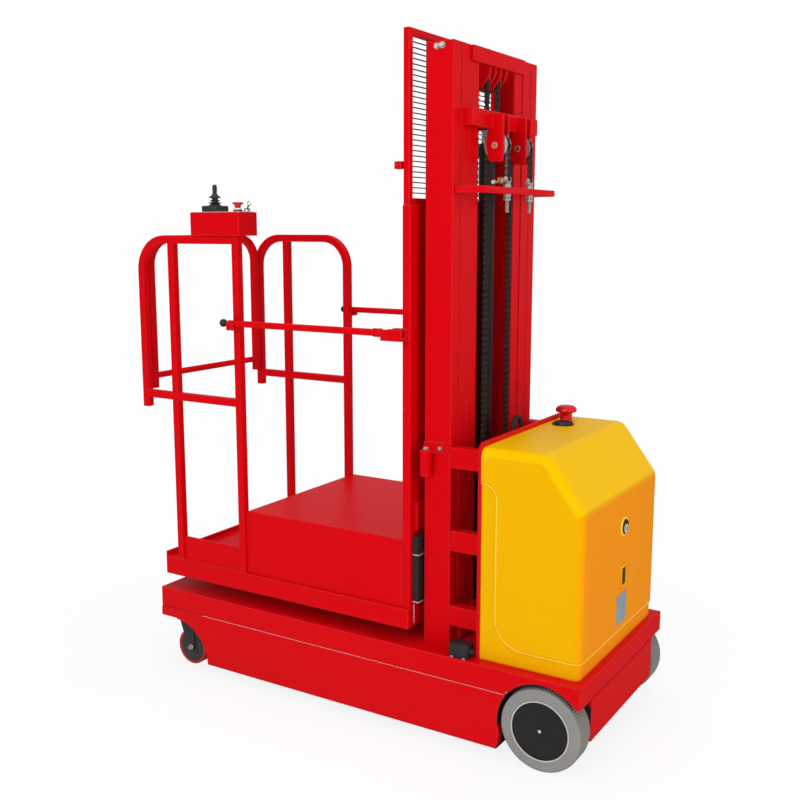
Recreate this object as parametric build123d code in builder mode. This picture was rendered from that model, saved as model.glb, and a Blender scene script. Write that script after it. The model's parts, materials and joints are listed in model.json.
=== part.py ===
from build123d import *
import os

# Self-propelled order picker: a low chassis on two drive wheels and two swivel casters, a
# three-section mast with a hydraulic cylinder and leaf chains, a work platform with guard
# rails and side bars, and a covered power unit at the back.
# Millimetres. +X is forward, +Y is the left side, +Z is up. The origin lies on the floor
# under the middle of the overall length and width.

os.makedirs("parts", exist_ok=True)

SIDES = (("left", 1), ("right", -1))    # name of the side, sign of its y

# Common sizes
mid_x = -36.75              # middle of the chassis
run_gap = 0.3               # a roller or pin in its track
sheet = 4.0                 # pressed and welded sheet
guard_tube = 27.0           # square tube of the guard rails
guard_round = 4.0           # corner radius of that tube

# Chassis
chassis_length = 1586.0
chassis_width = 701.0
chassis_top = 278.0
band_low = 206.0            # lower edge of the side band, which the skirts hang from
rear_band_low = 215.0
apron_low = 174.6           # lower edge of the nose, above the casters
skirt_low = 33.0
skirt_thick = 3.0
skirt_rear = 538.0          # from the chassis middle back to the skirt's lower rear corner
skirt_slant = 25.0
skirt_return = 25.0         # the skirt's rear edge is folded this far in
caster_arch = 138.0
caster_arch_x = 721.0
well_depth = 88.5           # from the chassis side in to the drive wheel's inner wall
well_wall_y = chassis_width / 2 - well_depth
well_length = 245.0
rear_panel_low = 85.0
nose_plate = 6.0            # plates of the cross member that carries the casters
floor_rail_y = 150.0
floor_rail_wide = 40.0

# Drive wheels
wheel_x = 675.0             # from the chassis middle back to the drive axle
wheel_radius = 125.0
wheel_width = 80.0
wheel_out = 5.1             # the wheels stand this far outside the chassis
wheel_face_y = chassis_width / 2 + wheel_out
wheel_arch = 137.0
tyre_thick = 36.0
tyre_shoulder = 8.0
hub_rim = 4.0
hub_boss = 7.0
hub_dish = 3.0
axle_end = 18.0             # the axle ends this far inside the hub's face
axle_radius = 15.0
motor_radius = 52.0
motor_length = 150.0
gearbox_radius = 66.0
gearbox_length = 45.0

# Casters
caster_x = 715.0
caster_inset = 50.5         # from the chassis side in to the swivel axis
caster_y = chassis_width / 2 - caster_inset
caster_trail = 27.0
caster_radius = 62.5
caster_width = 32.0
caster_tread = 9.0
caster_bolt = 6.0
fork_plate = 5.0
fork_ring = 44.0            # radius of the swivel bearing
fork_ring_high = 14.0
fork_bridge = 72.0
fork_bridge_thick = 6.0
fork_eye = 16.0
fork_top_rear = 40.0        # the legs' upper corners behind and ahead of the swivel axis
fork_top_front = 28.0
bolt_proud = 5.0
caster_plate_z = 190.0      # underside of the mounting plate in the chassis nose
caster_box_rear = 150.0

# Mast, with sizes in plan across each rail
mast_front = 248.0          # from the chassis middle back to the front of the rails
mast_depth = 88.0
mast_top = 2053.0
outer_face_y = 276.7
outer_wide = 43.7
middle_wide = 51.0
inner_wide = 51.0
stage_gap = 5.0
rail_wall = 7.0
inner_inset = 2.0           # the inner section is this much shallower at each flange
stage_lift = 12.0           # foot of each moving section above the chassis
roller_stub = 12.0
roller_wide = 27.0          # rollers in the outer channel, and their place in it
roller_in = 3.0
slim_roller_wide = 14.0     # rollers in the middle channel
slim_roller_in = 9.0
inner_roller_rise = 90.0
carriage_roller_wide = 26.0
carriage_roller_in = 9.0
roller_heights = (52.0, 900.0)
crosshead_thick = 32.0
crosshead_drop = 178.0      # from the mast's top down to the crosshead
crosshead_tall = 48.0
crosshead_high = mast_top - crosshead_drop
crosshead_low = crosshead_high - crosshead_tall
foot_low = 10.0
foot_high = 46.0
foot_thick = 10.0
inner_foot_high = 40.0
beam_tall = 43.0
beam_low = mast_top - beam_tall
push_thick = 20.0           # plate that the cylinder pushes up
push_margin = 14.0
crosshead_inset = 9.5
inner_foot_rise = 11.0      # gap between the feet of the middle and inner sections
fin_reach = 30.0
fin_drop = 36.0
fin_tip = 18.0              # the fin's lower edge starts this far behind the pin
fin_bow = 9.0               # hollow of its curved edge

# Chains and their wheels
chain_wide = 20.0
chain_deep = 12.0
low_chain_y = 78.0
low_sheave_x = 376.0
low_sheave_drop = 277.0     # from the mast's top down to each chain wheel's pin
low_sheave_z = mast_top - low_sheave_drop
low_pitch_radius = 34.0
high_chain_y = 35.0
high_sheave_x = 281.0
high_sheave_drop = 68.0
high_sheave_z = mast_top - high_sheave_drop
high_pitch_radius = 36.0
flange_rise = 5.0
flange_thick = 3.0
cheek_thick = 6.0
cheek_ahead = 21.0          # from the pin forward to the cheek's edge, and back
cheek_behind = 28.0
cheek_bulge = 8.0           # the edge swells by this much at the pin
cheek_low = 46.0            # from the pin down to the cheek's lower edge
cheek_round = 7.0
sheave_pin = 7.0
cheek_gap = 1.0
anchor_rod = 6.0
anchor_nut = 11.0
anchor_rise = 25.0          # from its plate up to the end of the chain
shelf_drop = 417.0          # from the mast's top down to the shelf
shelf_z = mast_top - shelf_drop
shelf_high = 19.0
shelf_reach = 87.0          # from the rear of the mast back to the shelf's far edge
shelf_bar = 26.0
shelf_side_y = 257.0        # outer face of its arms at the bends
shelf_round = 22.0
shelf_lap = 10.0
shelf_rod_drop = 54.0
shelf_rod_z = shelf_z - shelf_rod_drop

# Lift cylinder
cylinder_x = 302.0
cylinder_radius = 25.0
cylinder_drop = 263.0       # from the mast's top down to the cylinder's head
cylinder_top = mast_top - cylinder_drop
cylinder_foot = 30.0
rod_radius = 18.0
rod_foot = 700.0

# Power unit
bulkhead_x = 448.0
bulkhead_thick = 10.0
bulkhead_top = 930.0
cover_inset = 35.5          # the cover and its bulkhead stand in from the chassis sides
cover_half = chassis_width / 2 - cover_inset
cover_length = 316.0
cover_top = 917.0
cover_flat = 200.0
cover_slant_z = 761.0
cover_wall = 4.0
cover_round = 24.0
cover_bend = 40.0           # bends at both ends of the slant
tie_heights = (345.0, 580.0, 835.0)
tie_high = 62.0
tie_wide = 36.0
tie_inset = 20.0
battery_long = 200.0
battery_wide = 440.0
battery_high = 230.0

# Platform
platform_front = 790.0
platform_rear = 219.0
platform_inset = 25.5       # the platform's sides stand in from the chassis sides
platform_half = chassis_width / 2 - platform_inset
platform_low = 322.0
platform_floor = 385.0
lip_top = 403.0
toe_top = 470.0
toe_inset = 8.0
toe_sheet = 4.0
lip_sheet = 6.0
deck_sheet = 3.0
deck_round = 5.0
back_sheet = 3.0
back_cross_z = 1000.0
deck_front = 423.0
deck_inset = 10.0
deck_half = platform_half - deck_inset
deck_top = 600.0
back_tube = 28.0
back_top = 1602.0
mesh_top = 2092.0
mesh_tube = 20.0
mesh_pitch = 15.0
mesh_wire = 3.0

# Guards
guard_post_a = 720.0        # middle of the post over the platform's front
guard_post_b = 437.5        # middle of the post at the deck
guard_leg = 860.0           # middle of the front leg
guard_top = 1512.0
guard_bend = 105.0
guard_leg_low = 920.0
guard_mid_z = 966.0
front_bend = 90.0
front_leg_low = 980.0
front_cross_z = 1023.0
front_tube_gap = 3.0
cross_tube = 11.0
spacer_radius = 8.0
spacer_heights = (1056.0, 1290.0)

# Carriage behind the back frame
carriage_low = 330.0
carriage_high = 820.0
carriage_half = 200.0
carriage_thick = 7.0
carriage_arm_inset = 30.0   # the wide arm stands in from the deck's sides
carriage_arm_low = 630.0
carriage_arm_high = 715.0
carriage_side_y = 102.0
carriage_side_thick = 10.0
carriage_rollers = (440.0, 770.0)
carriage_lug_z = 735.0
carriage_lug_high = 30.0
carriage_side_in = 24.0     # the side plates end this far ahead of the rails' rear
carriage_slant = 60.0

# Side bars
bar_radius = 10.5
bar_out = 28.0              # from the deck's side out to the bar's middle
bar_y = deck_half + bar_out
bar_z = 1232.0
bar_pivot = 190.0
bar_tip = 452.0
knob_radius = 13.0
bar_pin = 5.0
bar_neck = 10.0
bar_collar = 13.0           # thicker sleeve on the bar, ahead of its bracket
collar_start = 54.0
collar_end = 80.0
bracket_ahead = 48.0        # the bracket's reach ahead of the pin and behind it
bracket_behind = 25.0
bracket_slant = 20.0        # where its top edge starts to slope down, ahead of the pin

# Controls and fittings
console_x = 473.25
console_inset = 35.0        # from the platform's side in to the box's middle
console_y = platform_half - console_inset
console_long = 208.0
console_wide = 90.0
console_high = 75.0
stick_ahead = 34.0          # places on the box, from its middle
button_behind = 52.0
key_behind = 80.0
key_side = 25.0
pad_inset = 15.0
pad_y = deck_half - pad_inset
pad_wide = 38.0
pad_deep = 21.0
pad_low = 400.0
pad_high = 612.0
socket_y = -10.0
socket_z = 498.0
socket_wide = 47.0
socket_high = 70.0
socket_rim = 9.0
socket_proud = 6.0
stick_base = 64.0
lock_y = -10.0
lock_z = 653.0
latch_plate_x = 284.0
latch_plate_z = 893.0
latch_plate_thick = 10.0
latch_x = 262.0
latch_radius = 18.0
latch_low = 810.0
latch_high = 884.0
latch_plate_long = 68.0
latch_plate_high = 34.0
stop_back = 42.0            # places on the cover, from its front edge
stop_inset = 115.0          # from the cover's right side in
cap_back = 57.0
cap_inset = 175.0
limit_back = 402.0
limit_inset = 28.5          # from the chassis side in to the switch's middle
limit_long = 64.0
limit_wide = 44.0
limit_gland = 9.0
limit_gland_long = 12.0


def back(distance):
    """X of a point so far behind the chassis middle."""
    return mid_x - distance


def fore(distance):
    """X of a point so far ahead of the chassis middle."""
    return mid_x + distance


def finish(part, name):
    """Label one finished piece and write its file."""
    part.part.label = name
    export_step(part.part, f"parts/{name}.step")


# Chassis frame: top plate, side bands, nose, caster box and wheel wells
chassis_half = chassis_width / 2
nose_x = fore(chassis_length / 2)
tail_x = back(chassis_length / 2)
skirt_end_x = back(skirt_rear + skirt_slant)
axle_x = back(wheel_x)
axle_z = wheel_radius
arch_x = fore(caster_arch_x)

with BuildPart() as chassis_frame:
    with BuildSketch(Plane.XZ.offset(-chassis_half)):
        with BuildLine():
            Polyline(
                (tail_x, rear_band_low), (skirt_end_x, rear_band_low), (skirt_end_x, band_low),
                (arch_x, band_low), (arch_x, apron_low), (nose_x, apron_low),
                (nose_x, chassis_top), (tail_x, chassis_top), close=True,
            )
        make_face()
    extrude(amount=chassis_width)
    with BuildSketch(Plane.XY.offset(apron_low)):
        with Locations((mid_x, 0)):
            Rectangle(chassis_length - 2 * sheet, chassis_width - 2 * sheet)
    extrude(amount=chassis_top - sheet - apron_low, mode=Mode.SUBTRACT)
    # closed cross member at the nose that carries both casters
    with BuildSketch(Plane.XZ.offset(-chassis_half)):
        with Locations((nose_x - caster_box_rear / 2, caster_plate_z + nose_plate / 2)):
            Rectangle(caster_box_rear, nose_plate)
        with Locations((nose_x - caster_box_rear, (caster_plate_z + chassis_top) / 2)):
            Rectangle(nose_plate, chassis_top - caster_plate_z)
    extrude(amount=chassis_width)
    # inner walls of the wheel wells, the rear panel between them and two floor rails
    with BuildSketch(Plane.XY.offset(rear_panel_low)):
        for _, side in SIDES:
            with Locations((tail_x + well_length / 2, side * (well_wall_y - sheet / 2))):
                Rectangle(well_length, sheet)
        with Locations((tail_x + sheet / 2, 0)):
            Rectangle(sheet, 2 * well_wall_y)
        with Locations((tail_x + well_length, 0)):
            Rectangle(sheet, 2 * well_wall_y)
    extrude(amount=chassis_top - rear_panel_low)
    with BuildSketch(Plane.XY.offset(band_low)):
        for _, side in SIDES:
            with Locations((mid_x, side * floor_rail_y)):
                Rectangle(chassis_length - 2 * sheet, floor_rail_wide)
    extrude(amount=chassis_top - band_low)
    with BuildSketch(Plane.XZ.offset(-chassis_half)):
        with Locations((axle_x, axle_z)):
            Circle(wheel_arch)
    extrude(amount=chassis_half - well_wall_y, mode=Mode.SUBTRACT)
    with BuildSketch(Plane.XZ.offset(well_wall_y)):
        with Locations((axle_x, axle_z)):
            Circle(wheel_arch)
    extrude(amount=chassis_half - well_wall_y, mode=Mode.SUBTRACT)
    # bores in the well walls that the axles come through
    with BuildSketch(Plane.XZ.offset(-chassis_half)):
        with Locations((axle_x, axle_z)):
            Circle(axle_radius + 1)
    extrude(amount=chassis_width, mode=Mode.SUBTRACT)
finish(chassis_frame, "chassis_frame")

# Side skirts: flat plates hung outside the band, cut round for the caster and the wheel
with BuildPart() as side_skirts:
    for _, side in SIDES:
        with BuildSketch(Plane.XZ.offset(-side * chassis_half)):
            with BuildLine():
                Polyline(
                    (back(skirt_rear), skirt_low), (nose_x, skirt_low), (nose_x, band_low),
                    (skirt_end_x, band_low), close=True,
                )
            make_face()
            with Locations((arch_x, skirt_low)):
                Circle(caster_arch, mode=Mode.SUBTRACT)
            with Locations((nose_x, skirt_low)):
                Rectangle(2 * (nose_x - arch_x), 2 * (apron_low - skirt_low), mode=Mode.SUBTRACT)
            with Locations((axle_x, axle_z)):
                Circle(wheel_arch, mode=Mode.SUBTRACT)
        extrude(amount=-side * skirt_thick)
        # folded edge round the front of the drive wheel
        with BuildSketch(Plane.XZ.offset(-side * chassis_half)):
            with BuildLine():
                Polyline(
                    (back(skirt_rear), skirt_low), (back(skirt_rear) + skirt_thick, skirt_low),
                    (skirt_end_x + skirt_thick, band_low), (skirt_end_x, band_low), close=True,
                )
            make_face()
            with Locations((axle_x, axle_z)):
                Circle(wheel_arch + skirt_thick)
            with BuildLine():
                Polyline(
                    (back(skirt_rear), skirt_low), (nose_x, skirt_low), (nose_x, band_low),
                    (skirt_end_x, band_low), close=True,
                )
            make_face(mode=Mode.INTERSECT)
            with Locations((axle_x, axle_z)):
                Circle(wheel_arch, mode=Mode.SUBTRACT)
        extrude(amount=side * skirt_return)
finish(side_skirts, "side_skirts")

# Drive units: gearbox and motor on each well wall, with the axle out to the wheel
with BuildPart() as drive_units:
    for _, side in SIDES:
        inner_y = side * (well_wall_y - sheet)
        for start, length, radius in (
            (0, gearbox_length, gearbox_radius),
            (gearbox_length, motor_length, motor_radius),
        ):
            with BuildSketch(Plane.XZ.offset(-inner_y + side * start)):
                with Locations((axle_x, axle_z)):
                    Circle(radius)
            extrude(amount=side * length)
        with BuildSketch(Plane.XZ.offset(-inner_y)):
            with Locations((axle_x, axle_z)):
                Circle(axle_radius)
        extrude(amount=-side * (wheel_face_y - axle_end - abs(inner_y)))
finish(drive_units, "drive_units")

# Drive wheels: solid tyre with a slight crown, on a hub closed by a flat disc
for name, side in SIDES:
    face_y = side * wheel_face_y
    middle_y = side * (wheel_face_y - wheel_width / 2)
    with BuildPart() as tyre:
        with BuildSketch(Plane.XY):
            with BuildLine():
                rim = wheel_radius - tyre_thick
                Polyline(
                    (axle_x + rim, middle_y - wheel_width / 2),
                    (axle_x + wheel_radius - tyre_shoulder, middle_y - wheel_width / 2),
                    (axle_x + wheel_radius, middle_y - wheel_width / 2 + tyre_shoulder),
                    (axle_x + wheel_radius, middle_y + wheel_width / 2 - tyre_shoulder),
                    (axle_x + wheel_radius - tyre_shoulder, middle_y + wheel_width / 2),
                    (axle_x + rim, middle_y + wheel_width / 2), close=True,
                )
            make_face()
        revolve(axis=Axis((axle_x, 0, 0), (0, 1, 0)))
    tyre.part = tyre.part.moved(Location((0, 0, axle_z)))
    finish(tyre, f"tyre_{name}")
    with BuildPart() as hub:
        with BuildSketch(Plane.XZ.offset(-face_y)):
            with Locations((axle_x, axle_z)):
                Circle(wheel_radius - tyre_thick)
        extrude(amount=side * wheel_width)
        with BuildSketch(Plane.XZ.offset(-face_y + side * hub_dish)):
            with Locations((axle_x, axle_z)):
                Circle(wheel_radius - tyre_thick - hub_rim)
                Circle(hub_boss, mode=Mode.SUBTRACT)
        extrude(amount=-side * hub_dish, mode=Mode.SUBTRACT)
        with BuildSketch(Plane.XZ.offset(-face_y + side * wheel_width)):
            with Locations((axle_x, axle_z)):
                Circle(axle_radius + run_gap)
        extrude(amount=-side * (wheel_width - axle_end + 1), mode=Mode.SUBTRACT)
    finish(hub, f"wheel_hub_{name}")

# Casters: swivel fork, wheel core and bonded tread
swivel_x = fore(caster_x)
roll_x = swivel_x - caster_trail
fork_top = caster_plate_z - run_gap
leg_top = fork_top - fork_ring_high - 2
fork_inside = caster_width / 2 + 2
for name, side in SIDES:
    swivel_y = side * caster_y
    with BuildPart() as fork:
        with BuildSketch(Plane.XY.offset(fork_top)):
            with Locations((swivel_x, swivel_y)):
                Circle(fork_ring)
        extrude(amount=-fork_ring_high)
        with BuildSketch(Plane.XY.offset(fork_top - fork_ring_high)):
            with Locations((swivel_x - (fork_top_rear - fork_top_front) / 2, swivel_y)):
                RectangleRounded(fork_bridge, 2 * (fork_inside + fork_plate), fork_plate)
        extrude(amount=-fork_bridge_thick)
        for leg in (1, -1):
            with BuildSketch(Plane.XZ.offset(-swivel_y - leg * fork_inside)):
                with BuildLine():
                    Polyline(
                        (swivel_x - fork_top_rear, leg_top), (swivel_x + fork_top_front, leg_top),
                        (roll_x + fork_eye, caster_radius), (roll_x - fork_eye, caster_radius), close=True,
                    )
                make_face()
                with Locations((roll_x, caster_radius)):
                    Circle(fork_eye)
            extrude(amount=-leg * fork_plate)
        with BuildSketch(Plane.XZ.offset(-swivel_y + fork_inside + fork_plate + bolt_proud)):
            with Locations((roll_x, caster_radius)):
                Circle(caster_bolt)
        extrude(amount=-2 * (fork_inside + fork_plate + bolt_proud))
    finish(fork, f"caster_fork_{name}")
    for piece, outer, inner in (
        ("caster_core", caster_radius - caster_tread, caster_bolt + run_gap),
        ("caster_tread", caster_radius, caster_radius - caster_tread),
    ):
        with BuildPart() as ring:
            with BuildSketch(Plane.XZ.offset(-swivel_y - caster_width / 2)):
                with Locations((roll_x, caster_radius)):
                    Circle(outer)
                    Circle(inner, mode=Mode.SUBTRACT)
            extrude(amount=caster_width)
        finish(ring, f"{piece}_{name}")

# Mast rails: outer and inner channels and a middle I section, nested side by side
rail_front = back(mast_front)
rail_rear = back(mast_front + mast_depth)
rail_x = (rail_front + rail_rear) / 2
outer_in = outer_face_y - outer_wide
middle_out = outer_in - stage_gap
middle_in = middle_out - middle_wide
inner_out = middle_in - stage_gap
inner_in = inner_out - inner_wide
foot_z = chassis_top + stage_lift
roller_radius = mast_depth / 2 - rail_wall - run_gap
carriage_roller = roller_radius - inner_inset

with BuildPart() as outer_mast:
    for _, side in SIDES:
        with BuildSketch(Plane.XY.offset(chassis_top)):
            with Locations((rail_x, side * (outer_face_y - outer_wide / 2))):
                Rectangle(mast_depth, outer_wide)
            with Locations((rail_x, side * (outer_in + (outer_wide - rail_wall) / 2))):
                Rectangle(mast_depth - 2 * rail_wall, outer_wide - rail_wall, mode=Mode.SUBTRACT)
        extrude(amount=mast_top - chassis_top)
        # latch barrel on a plate at the side of the rail
        with BuildSketch(Plane.XZ.offset(-side * outer_face_y)):
            with Locations((back(latch_plate_x), latch_plate_z)):
                Rectangle(latch_plate_long, latch_plate_high)
        extrude(amount=-side * latch_plate_thick)
        with BuildSketch(Plane.XY.offset(latch_low)):
            with Locations((back(latch_x), side * (outer_face_y + latch_radius))):
                Circle(latch_radius)
        extrude(amount=latch_high - latch_low)
finish(outer_mast, "outer_mast")

with BuildPart() as middle_rails:
    for _, side in SIDES:
        with BuildSketch(Plane.XY.offset(foot_z)):
            with Locations((rail_x, side * (middle_in + middle_wide / 2))):
                Rectangle(mast_depth, middle_wide)
                Rectangle(mast_depth - 2 * rail_wall, middle_wide, mode=Mode.SUBTRACT)
                Rectangle(mast_depth, rail_wall)
        extrude(amount=mast_top - foot_z)
        web_y = middle_in + middle_wide / 2 + rail_wall / 2
        for height in roller_heights:
            with BuildSketch(Plane.XZ.offset(-side * web_y)):
                with Locations((rail_x, foot_z + height)):
                    Circle(roller_stub)
            extrude(amount=-side * (outer_in + roller_in + roller_wide - web_y))
            with BuildSketch(Plane.XZ.offset(-side * (outer_in + roller_in))):
                with Locations((rail_x, foot_z + height)):
                    Circle(roller_radius)
            extrude(amount=-side * roller_wide)
finish(middle_rails, "middle_rails")

with BuildPart() as inner_rails:
    for _, side in SIDES:
        depth = mast_depth - 2 * inner_inset
        with BuildSketch(Plane.XY.offset(foot_z)):
            with Locations((rail_x, side * (inner_in + inner_wide / 2))):
                Rectangle(depth, inner_wide)
            with Locations((rail_x, side * (inner_in + (inner_wide - rail_wall) / 2))):
                Rectangle(depth - 2 * rail_wall, inner_wide - rail_wall, mode=Mode.SUBTRACT)
        extrude(amount=mast_top - foot_z)
        for height in roller_heights:
            with BuildSketch(Plane.XZ.offset(-side * inner_out)):
                with Locations((rail_x, foot_z + inner_roller_rise + height)):
                    Circle(roller_stub)
            extrude(amount=-side * slim_roller_in)
            with BuildSketch(Plane.XZ.offset(-side * (inner_out + slim_roller_in))):
                with Locations((rail_x, foot_z + inner_roller_rise + height)):
                    Circle(roller_radius)
            extrude(amount=-side * slim_roller_wide)
finish(inner_rails, "inner_rails")

# Middle section's cross members: foot, and the crosshead with its pushing plate and cheeks
crosshead_x = rail_rear - crosshead_thick / 2
pin_half = chain_wide / 2 + flange_thick + cheek_gap + cheek_thick
low_x = back(low_sheave_x)
with BuildPart() as middle_crossheads:
    with BuildSketch(Plane.XY.offset(chassis_top + foot_low)):
        with Locations((rail_rear - foot_thick / 2, 0)):
            Rectangle(foot_thick, 2 * middle_out)
    extrude(amount=foot_high - foot_low)
    with BuildSketch(Plane.XY.offset(crosshead_low)):
        with Locations((crosshead_x, 0)):
            Rectangle(crosshead_thick, 2 * (middle_out - crosshead_inset))
    extrude(amount=crosshead_high - crosshead_low)
    push_front = back(cylinder_x - rod_radius)
    with BuildSketch(Plane.XY.offset(crosshead_low)):
        with Locations(((rail_rear + push_front) / 2, 0)):
            Rectangle(push_front - rail_rear, 2 * (high_chain_y + push_margin))
    extrude(amount=push_thick)
    for _, side in SIDES:
        for offset_y in (-1, 1):
            cheek_y = side * low_chain_y + offset_y * (chain_wide / 2 + flange_thick + cheek_gap)
            start = cheek_y - (cheek_thick if offset_y < 0 else 0)
            with BuildSketch(Plane.XZ.offset(-start)):
                with BuildLine():
                    Polyline(
                        (low_x + cheek_ahead, crosshead_high - cheek_round),
                        (low_x - cheek_behind, crosshead_high - cheek_round),
                        (low_x - cheek_behind, low_sheave_z - cheek_low),
                        (low_x + cheek_ahead - cheek_bulge, low_sheave_z - cheek_low),
                        (low_x + cheek_ahead, low_sheave_z - cheek_low + cheek_bulge),
                        (low_x + cheek_ahead + cheek_bulge, low_sheave_z + cheek_round),
                        (low_x + cheek_ahead, low_sheave_z + cheek_low), close=True,
                    )
                make_face()
                fillet(vertices().group_by(Axis.Z)[0], cheek_round)
            extrude(amount=-cheek_thick)
        with BuildSketch(Plane.XZ.offset(-side * low_chain_y - pin_half)):
            with Locations((low_x, low_sheave_z)):
                Circle(sheave_pin)
        extrude(amount=2 * pin_half)
finish(middle_crossheads, "middle_crossheads")

# Inner section's cross members: foot with chain lugs, and the top beam with its fins
high_x = back(high_sheave_x)
inner_rear = rail_rear + inner_inset
inner_foot_z = chassis_top + foot_high + inner_foot_rise
fin_rear = inner_rear - foot_thick / 2
with BuildPart() as inner_crossheads:
    with BuildSketch(Plane.XY.offset(inner_foot_z)):
        with Locations((inner_rear - foot_thick / 2, 0)):
            Rectangle(foot_thick, 2 * inner_out)
    extrude(amount=inner_foot_high)
    # ledge and rods that hold the front runs of the lower chains
    with BuildSketch(Plane.XY.offset(inner_foot_z + inner_foot_high - foot_thick)):
        with Locations((inner_rear - foot_thick, 0)):
            Rectangle(2 * foot_thick, 2 * (low_chain_y + chain_wide))
    extrude(amount=foot_thick)
    with BuildSketch(Plane.XY.offset(inner_foot_z + inner_foot_high)):
        for _, side in SIDES:
            with Locations((low_x + low_pitch_radius, side * low_chain_y)):
                Circle(anchor_rod)
    extrude(amount=anchor_rise)
    with BuildSketch(Plane.XY.offset(beam_low)):
        with Locations((inner_rear - foot_thick / 2, 0)):
            Rectangle(foot_thick, 2 * inner_out)
    extrude(amount=mast_top - beam_low)
    for _, side in SIDES:
        for offset_y in (-1, 1):
            cheek_y = side * high_chain_y + offset_y * (chain_wide / 2 + flange_thick + cheek_gap)
            start = cheek_y - (cheek_thick if offset_y < 0 else 0)
            with BuildSketch(Plane.XZ.offset(-start)):
                with BuildLine():
                    Polyline(
                        (fin_rear, beam_low), (fin_rear, mast_top - 4),
                        (high_x + fin_reach, mast_top - 4),
                        (high_x + fin_reach, high_sheave_z - fin_tip),
                        (high_x + fin_tip / 2, high_sheave_z - fin_drop),
                        (high_x - fin_tip, high_sheave_z - fin_drop),
                    )
                    ThreePointArc(
                        (high_x - fin_tip, high_sheave_z - fin_drop),
                        ((high_x - fin_tip + fin_rear) / 2 + fin_bow,
                         (high_sheave_z - fin_drop + beam_low) / 2 + fin_bow / 2 - fin_bow),
                        (fin_rear, beam_low),
                    )
                make_face()
            extrude(amount=-cheek_thick)
        with BuildSketch(Plane.XZ.offset(-side * high_chain_y - pin_half)):
            with Locations((high_x, high_sheave_z)):
                Circle(sheave_pin)
        extrude(amount=2 * pin_half)
finish(inner_crossheads, "inner_crossheads")

# Chain wheels on both crossheads
for name, centre_x, centre_z, chain_y, pitch_radius in (
    ("middle_sheaves", low_x, low_sheave_z, low_chain_y, low_pitch_radius),
    ("inner_sheaves", high_x, high_sheave_z, high_chain_y, high_pitch_radius),
):
    groove = pitch_radius - chain_deep / 2
    with BuildPart() as sheaves:
        for _, side in SIDES:
            for start, width, radius in (
                (-chain_wide / 2 - flange_thick, flange_thick, pitch_radius + flange_rise),
                (-chain_wide / 2, chain_wide, groove),
                (chain_wide / 2, flange_thick, pitch_radius + flange_rise),
            ):
                with BuildSketch(Plane.XZ.offset(-side * chain_y - start)):
                    with Locations((centre_x, centre_z)):
                        Circle(radius)
                        Circle(sheave_pin, mode=Mode.SUBTRACT)
                extrude(amount=-width)
    finish(sheaves, name)

# Leaf chains: half turns over the wheels, and the straight runs on both sides of each
low_rear_x = low_x - low_pitch_radius
low_front_x = low_x + low_pitch_radius
high_rear_x = high_x - high_pitch_radius
high_front_x = high_x + high_pitch_radius
shelf_anchor_z = shelf_z + shelf_high + anchor_rise
push_anchor_z = crosshead_low + push_thick + anchor_rise
inner_anchor_z = inner_foot_z + inner_foot_high + anchor_rise
carriage_anchor_z = carriage_lug_z + anchor_rise

for name, centre_x, centre_z, chain_y, pitch_radius in (
    ("chain_turn_low", low_x, low_sheave_z, low_chain_y, low_pitch_radius),
    ("chain_turn_high", high_x, high_sheave_z, high_chain_y, high_pitch_radius),
):
    with BuildPart() as turn:
        for _, side in SIDES:
            with BuildSketch(Plane.XZ.offset(-side * chain_y + chain_wide / 2)):
                with Locations((centre_x, centre_z)):
                    Circle(pitch_radius + chain_deep / 2)
                    Circle(pitch_radius - chain_deep / 2, mode=Mode.SUBTRACT)
                with Locations((centre_x, centre_z - pitch_radius)):
                    Rectangle(4 * pitch_radius, 2 * pitch_radius, mode=Mode.SUBTRACT)
            extrude(amount=-chain_wide)
    finish(turn, name)

for name, run_x, chain_y, low_z, high_z in (
    ("chain_low_rear", low_rear_x, low_chain_y, shelf_anchor_z, low_sheave_z),
    ("chain_low_front", low_front_x, low_chain_y, inner_anchor_z, low_sheave_z),
    ("chain_high_rear", high_rear_x, high_chain_y, push_anchor_z, high_sheave_z),
    ("chain_high_front", high_front_x, high_chain_y, carriage_anchor_z, high_sheave_z),
):
    with BuildPart() as run:
        for _, side in SIDES:
            with BuildSketch(Plane.XY.offset(low_z)):
                with Locations((run_x, side * chain_y)):
                    Rectangle(chain_deep, chain_wide)
            extrude(amount=high_z - low_z)
    finish(run, name)

# Chain anchors: rod, nuts and fork, where each run is held
for name, run_x, chain_y, rod_low, plate_low, plate_high, fork_z in (
    ("shelf_anchors", low_rear_x, low_chain_y, shelf_rod_z, shelf_z, shelf_z + shelf_high,
     shelf_anchor_z),
    ("push_anchors", high_rear_x, high_chain_y, crosshead_low - 20, crosshead_low,
     crosshead_low + push_thick, push_anchor_z),
):
    with BuildPart() as anchors:
        for _, side in SIDES:
            for low, high, radius in (
                (rod_low, plate_low, anchor_rod), (plate_low - 12, plate_low, anchor_nut),
                (plate_high, plate_high + 10, anchor_nut), (plate_high, fork_z, anchor_rod),
            ):
                with BuildSketch(Plane.XY.offset(low)):
                    with Locations((run_x, side * chain_y)):
                        Circle(radius)
                extrude(amount=high - low)
    finish(anchors, name)

# Chain shelf: flat bar bent out behind the outer rails
shelf_back = rail_rear - shelf_reach
with BuildPart() as chain_shelf:
    with BuildSketch(Plane.XY.offset(shelf_z)):
        with BuildLine():
            Polyline(
                (rail_rear, outer_face_y - shelf_lap), (rail_rear, outer_face_y - shelf_lap - shelf_bar),
                (shelf_back + shelf_bar, shelf_side_y - shelf_bar),
                (shelf_back + shelf_bar, shelf_bar - shelf_side_y),
                (rail_rear, shelf_lap + shelf_bar - outer_face_y), (rail_rear, shelf_lap - outer_face_y),
                (shelf_back, -shelf_side_y), (shelf_back, shelf_side_y), close=True,
            )
        make_face()
        fillet(vertices().group_by(Axis.X)[0], shelf_round)
    extrude(amount=shelf_high)
finish(chain_shelf, "chain_shelf")

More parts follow.
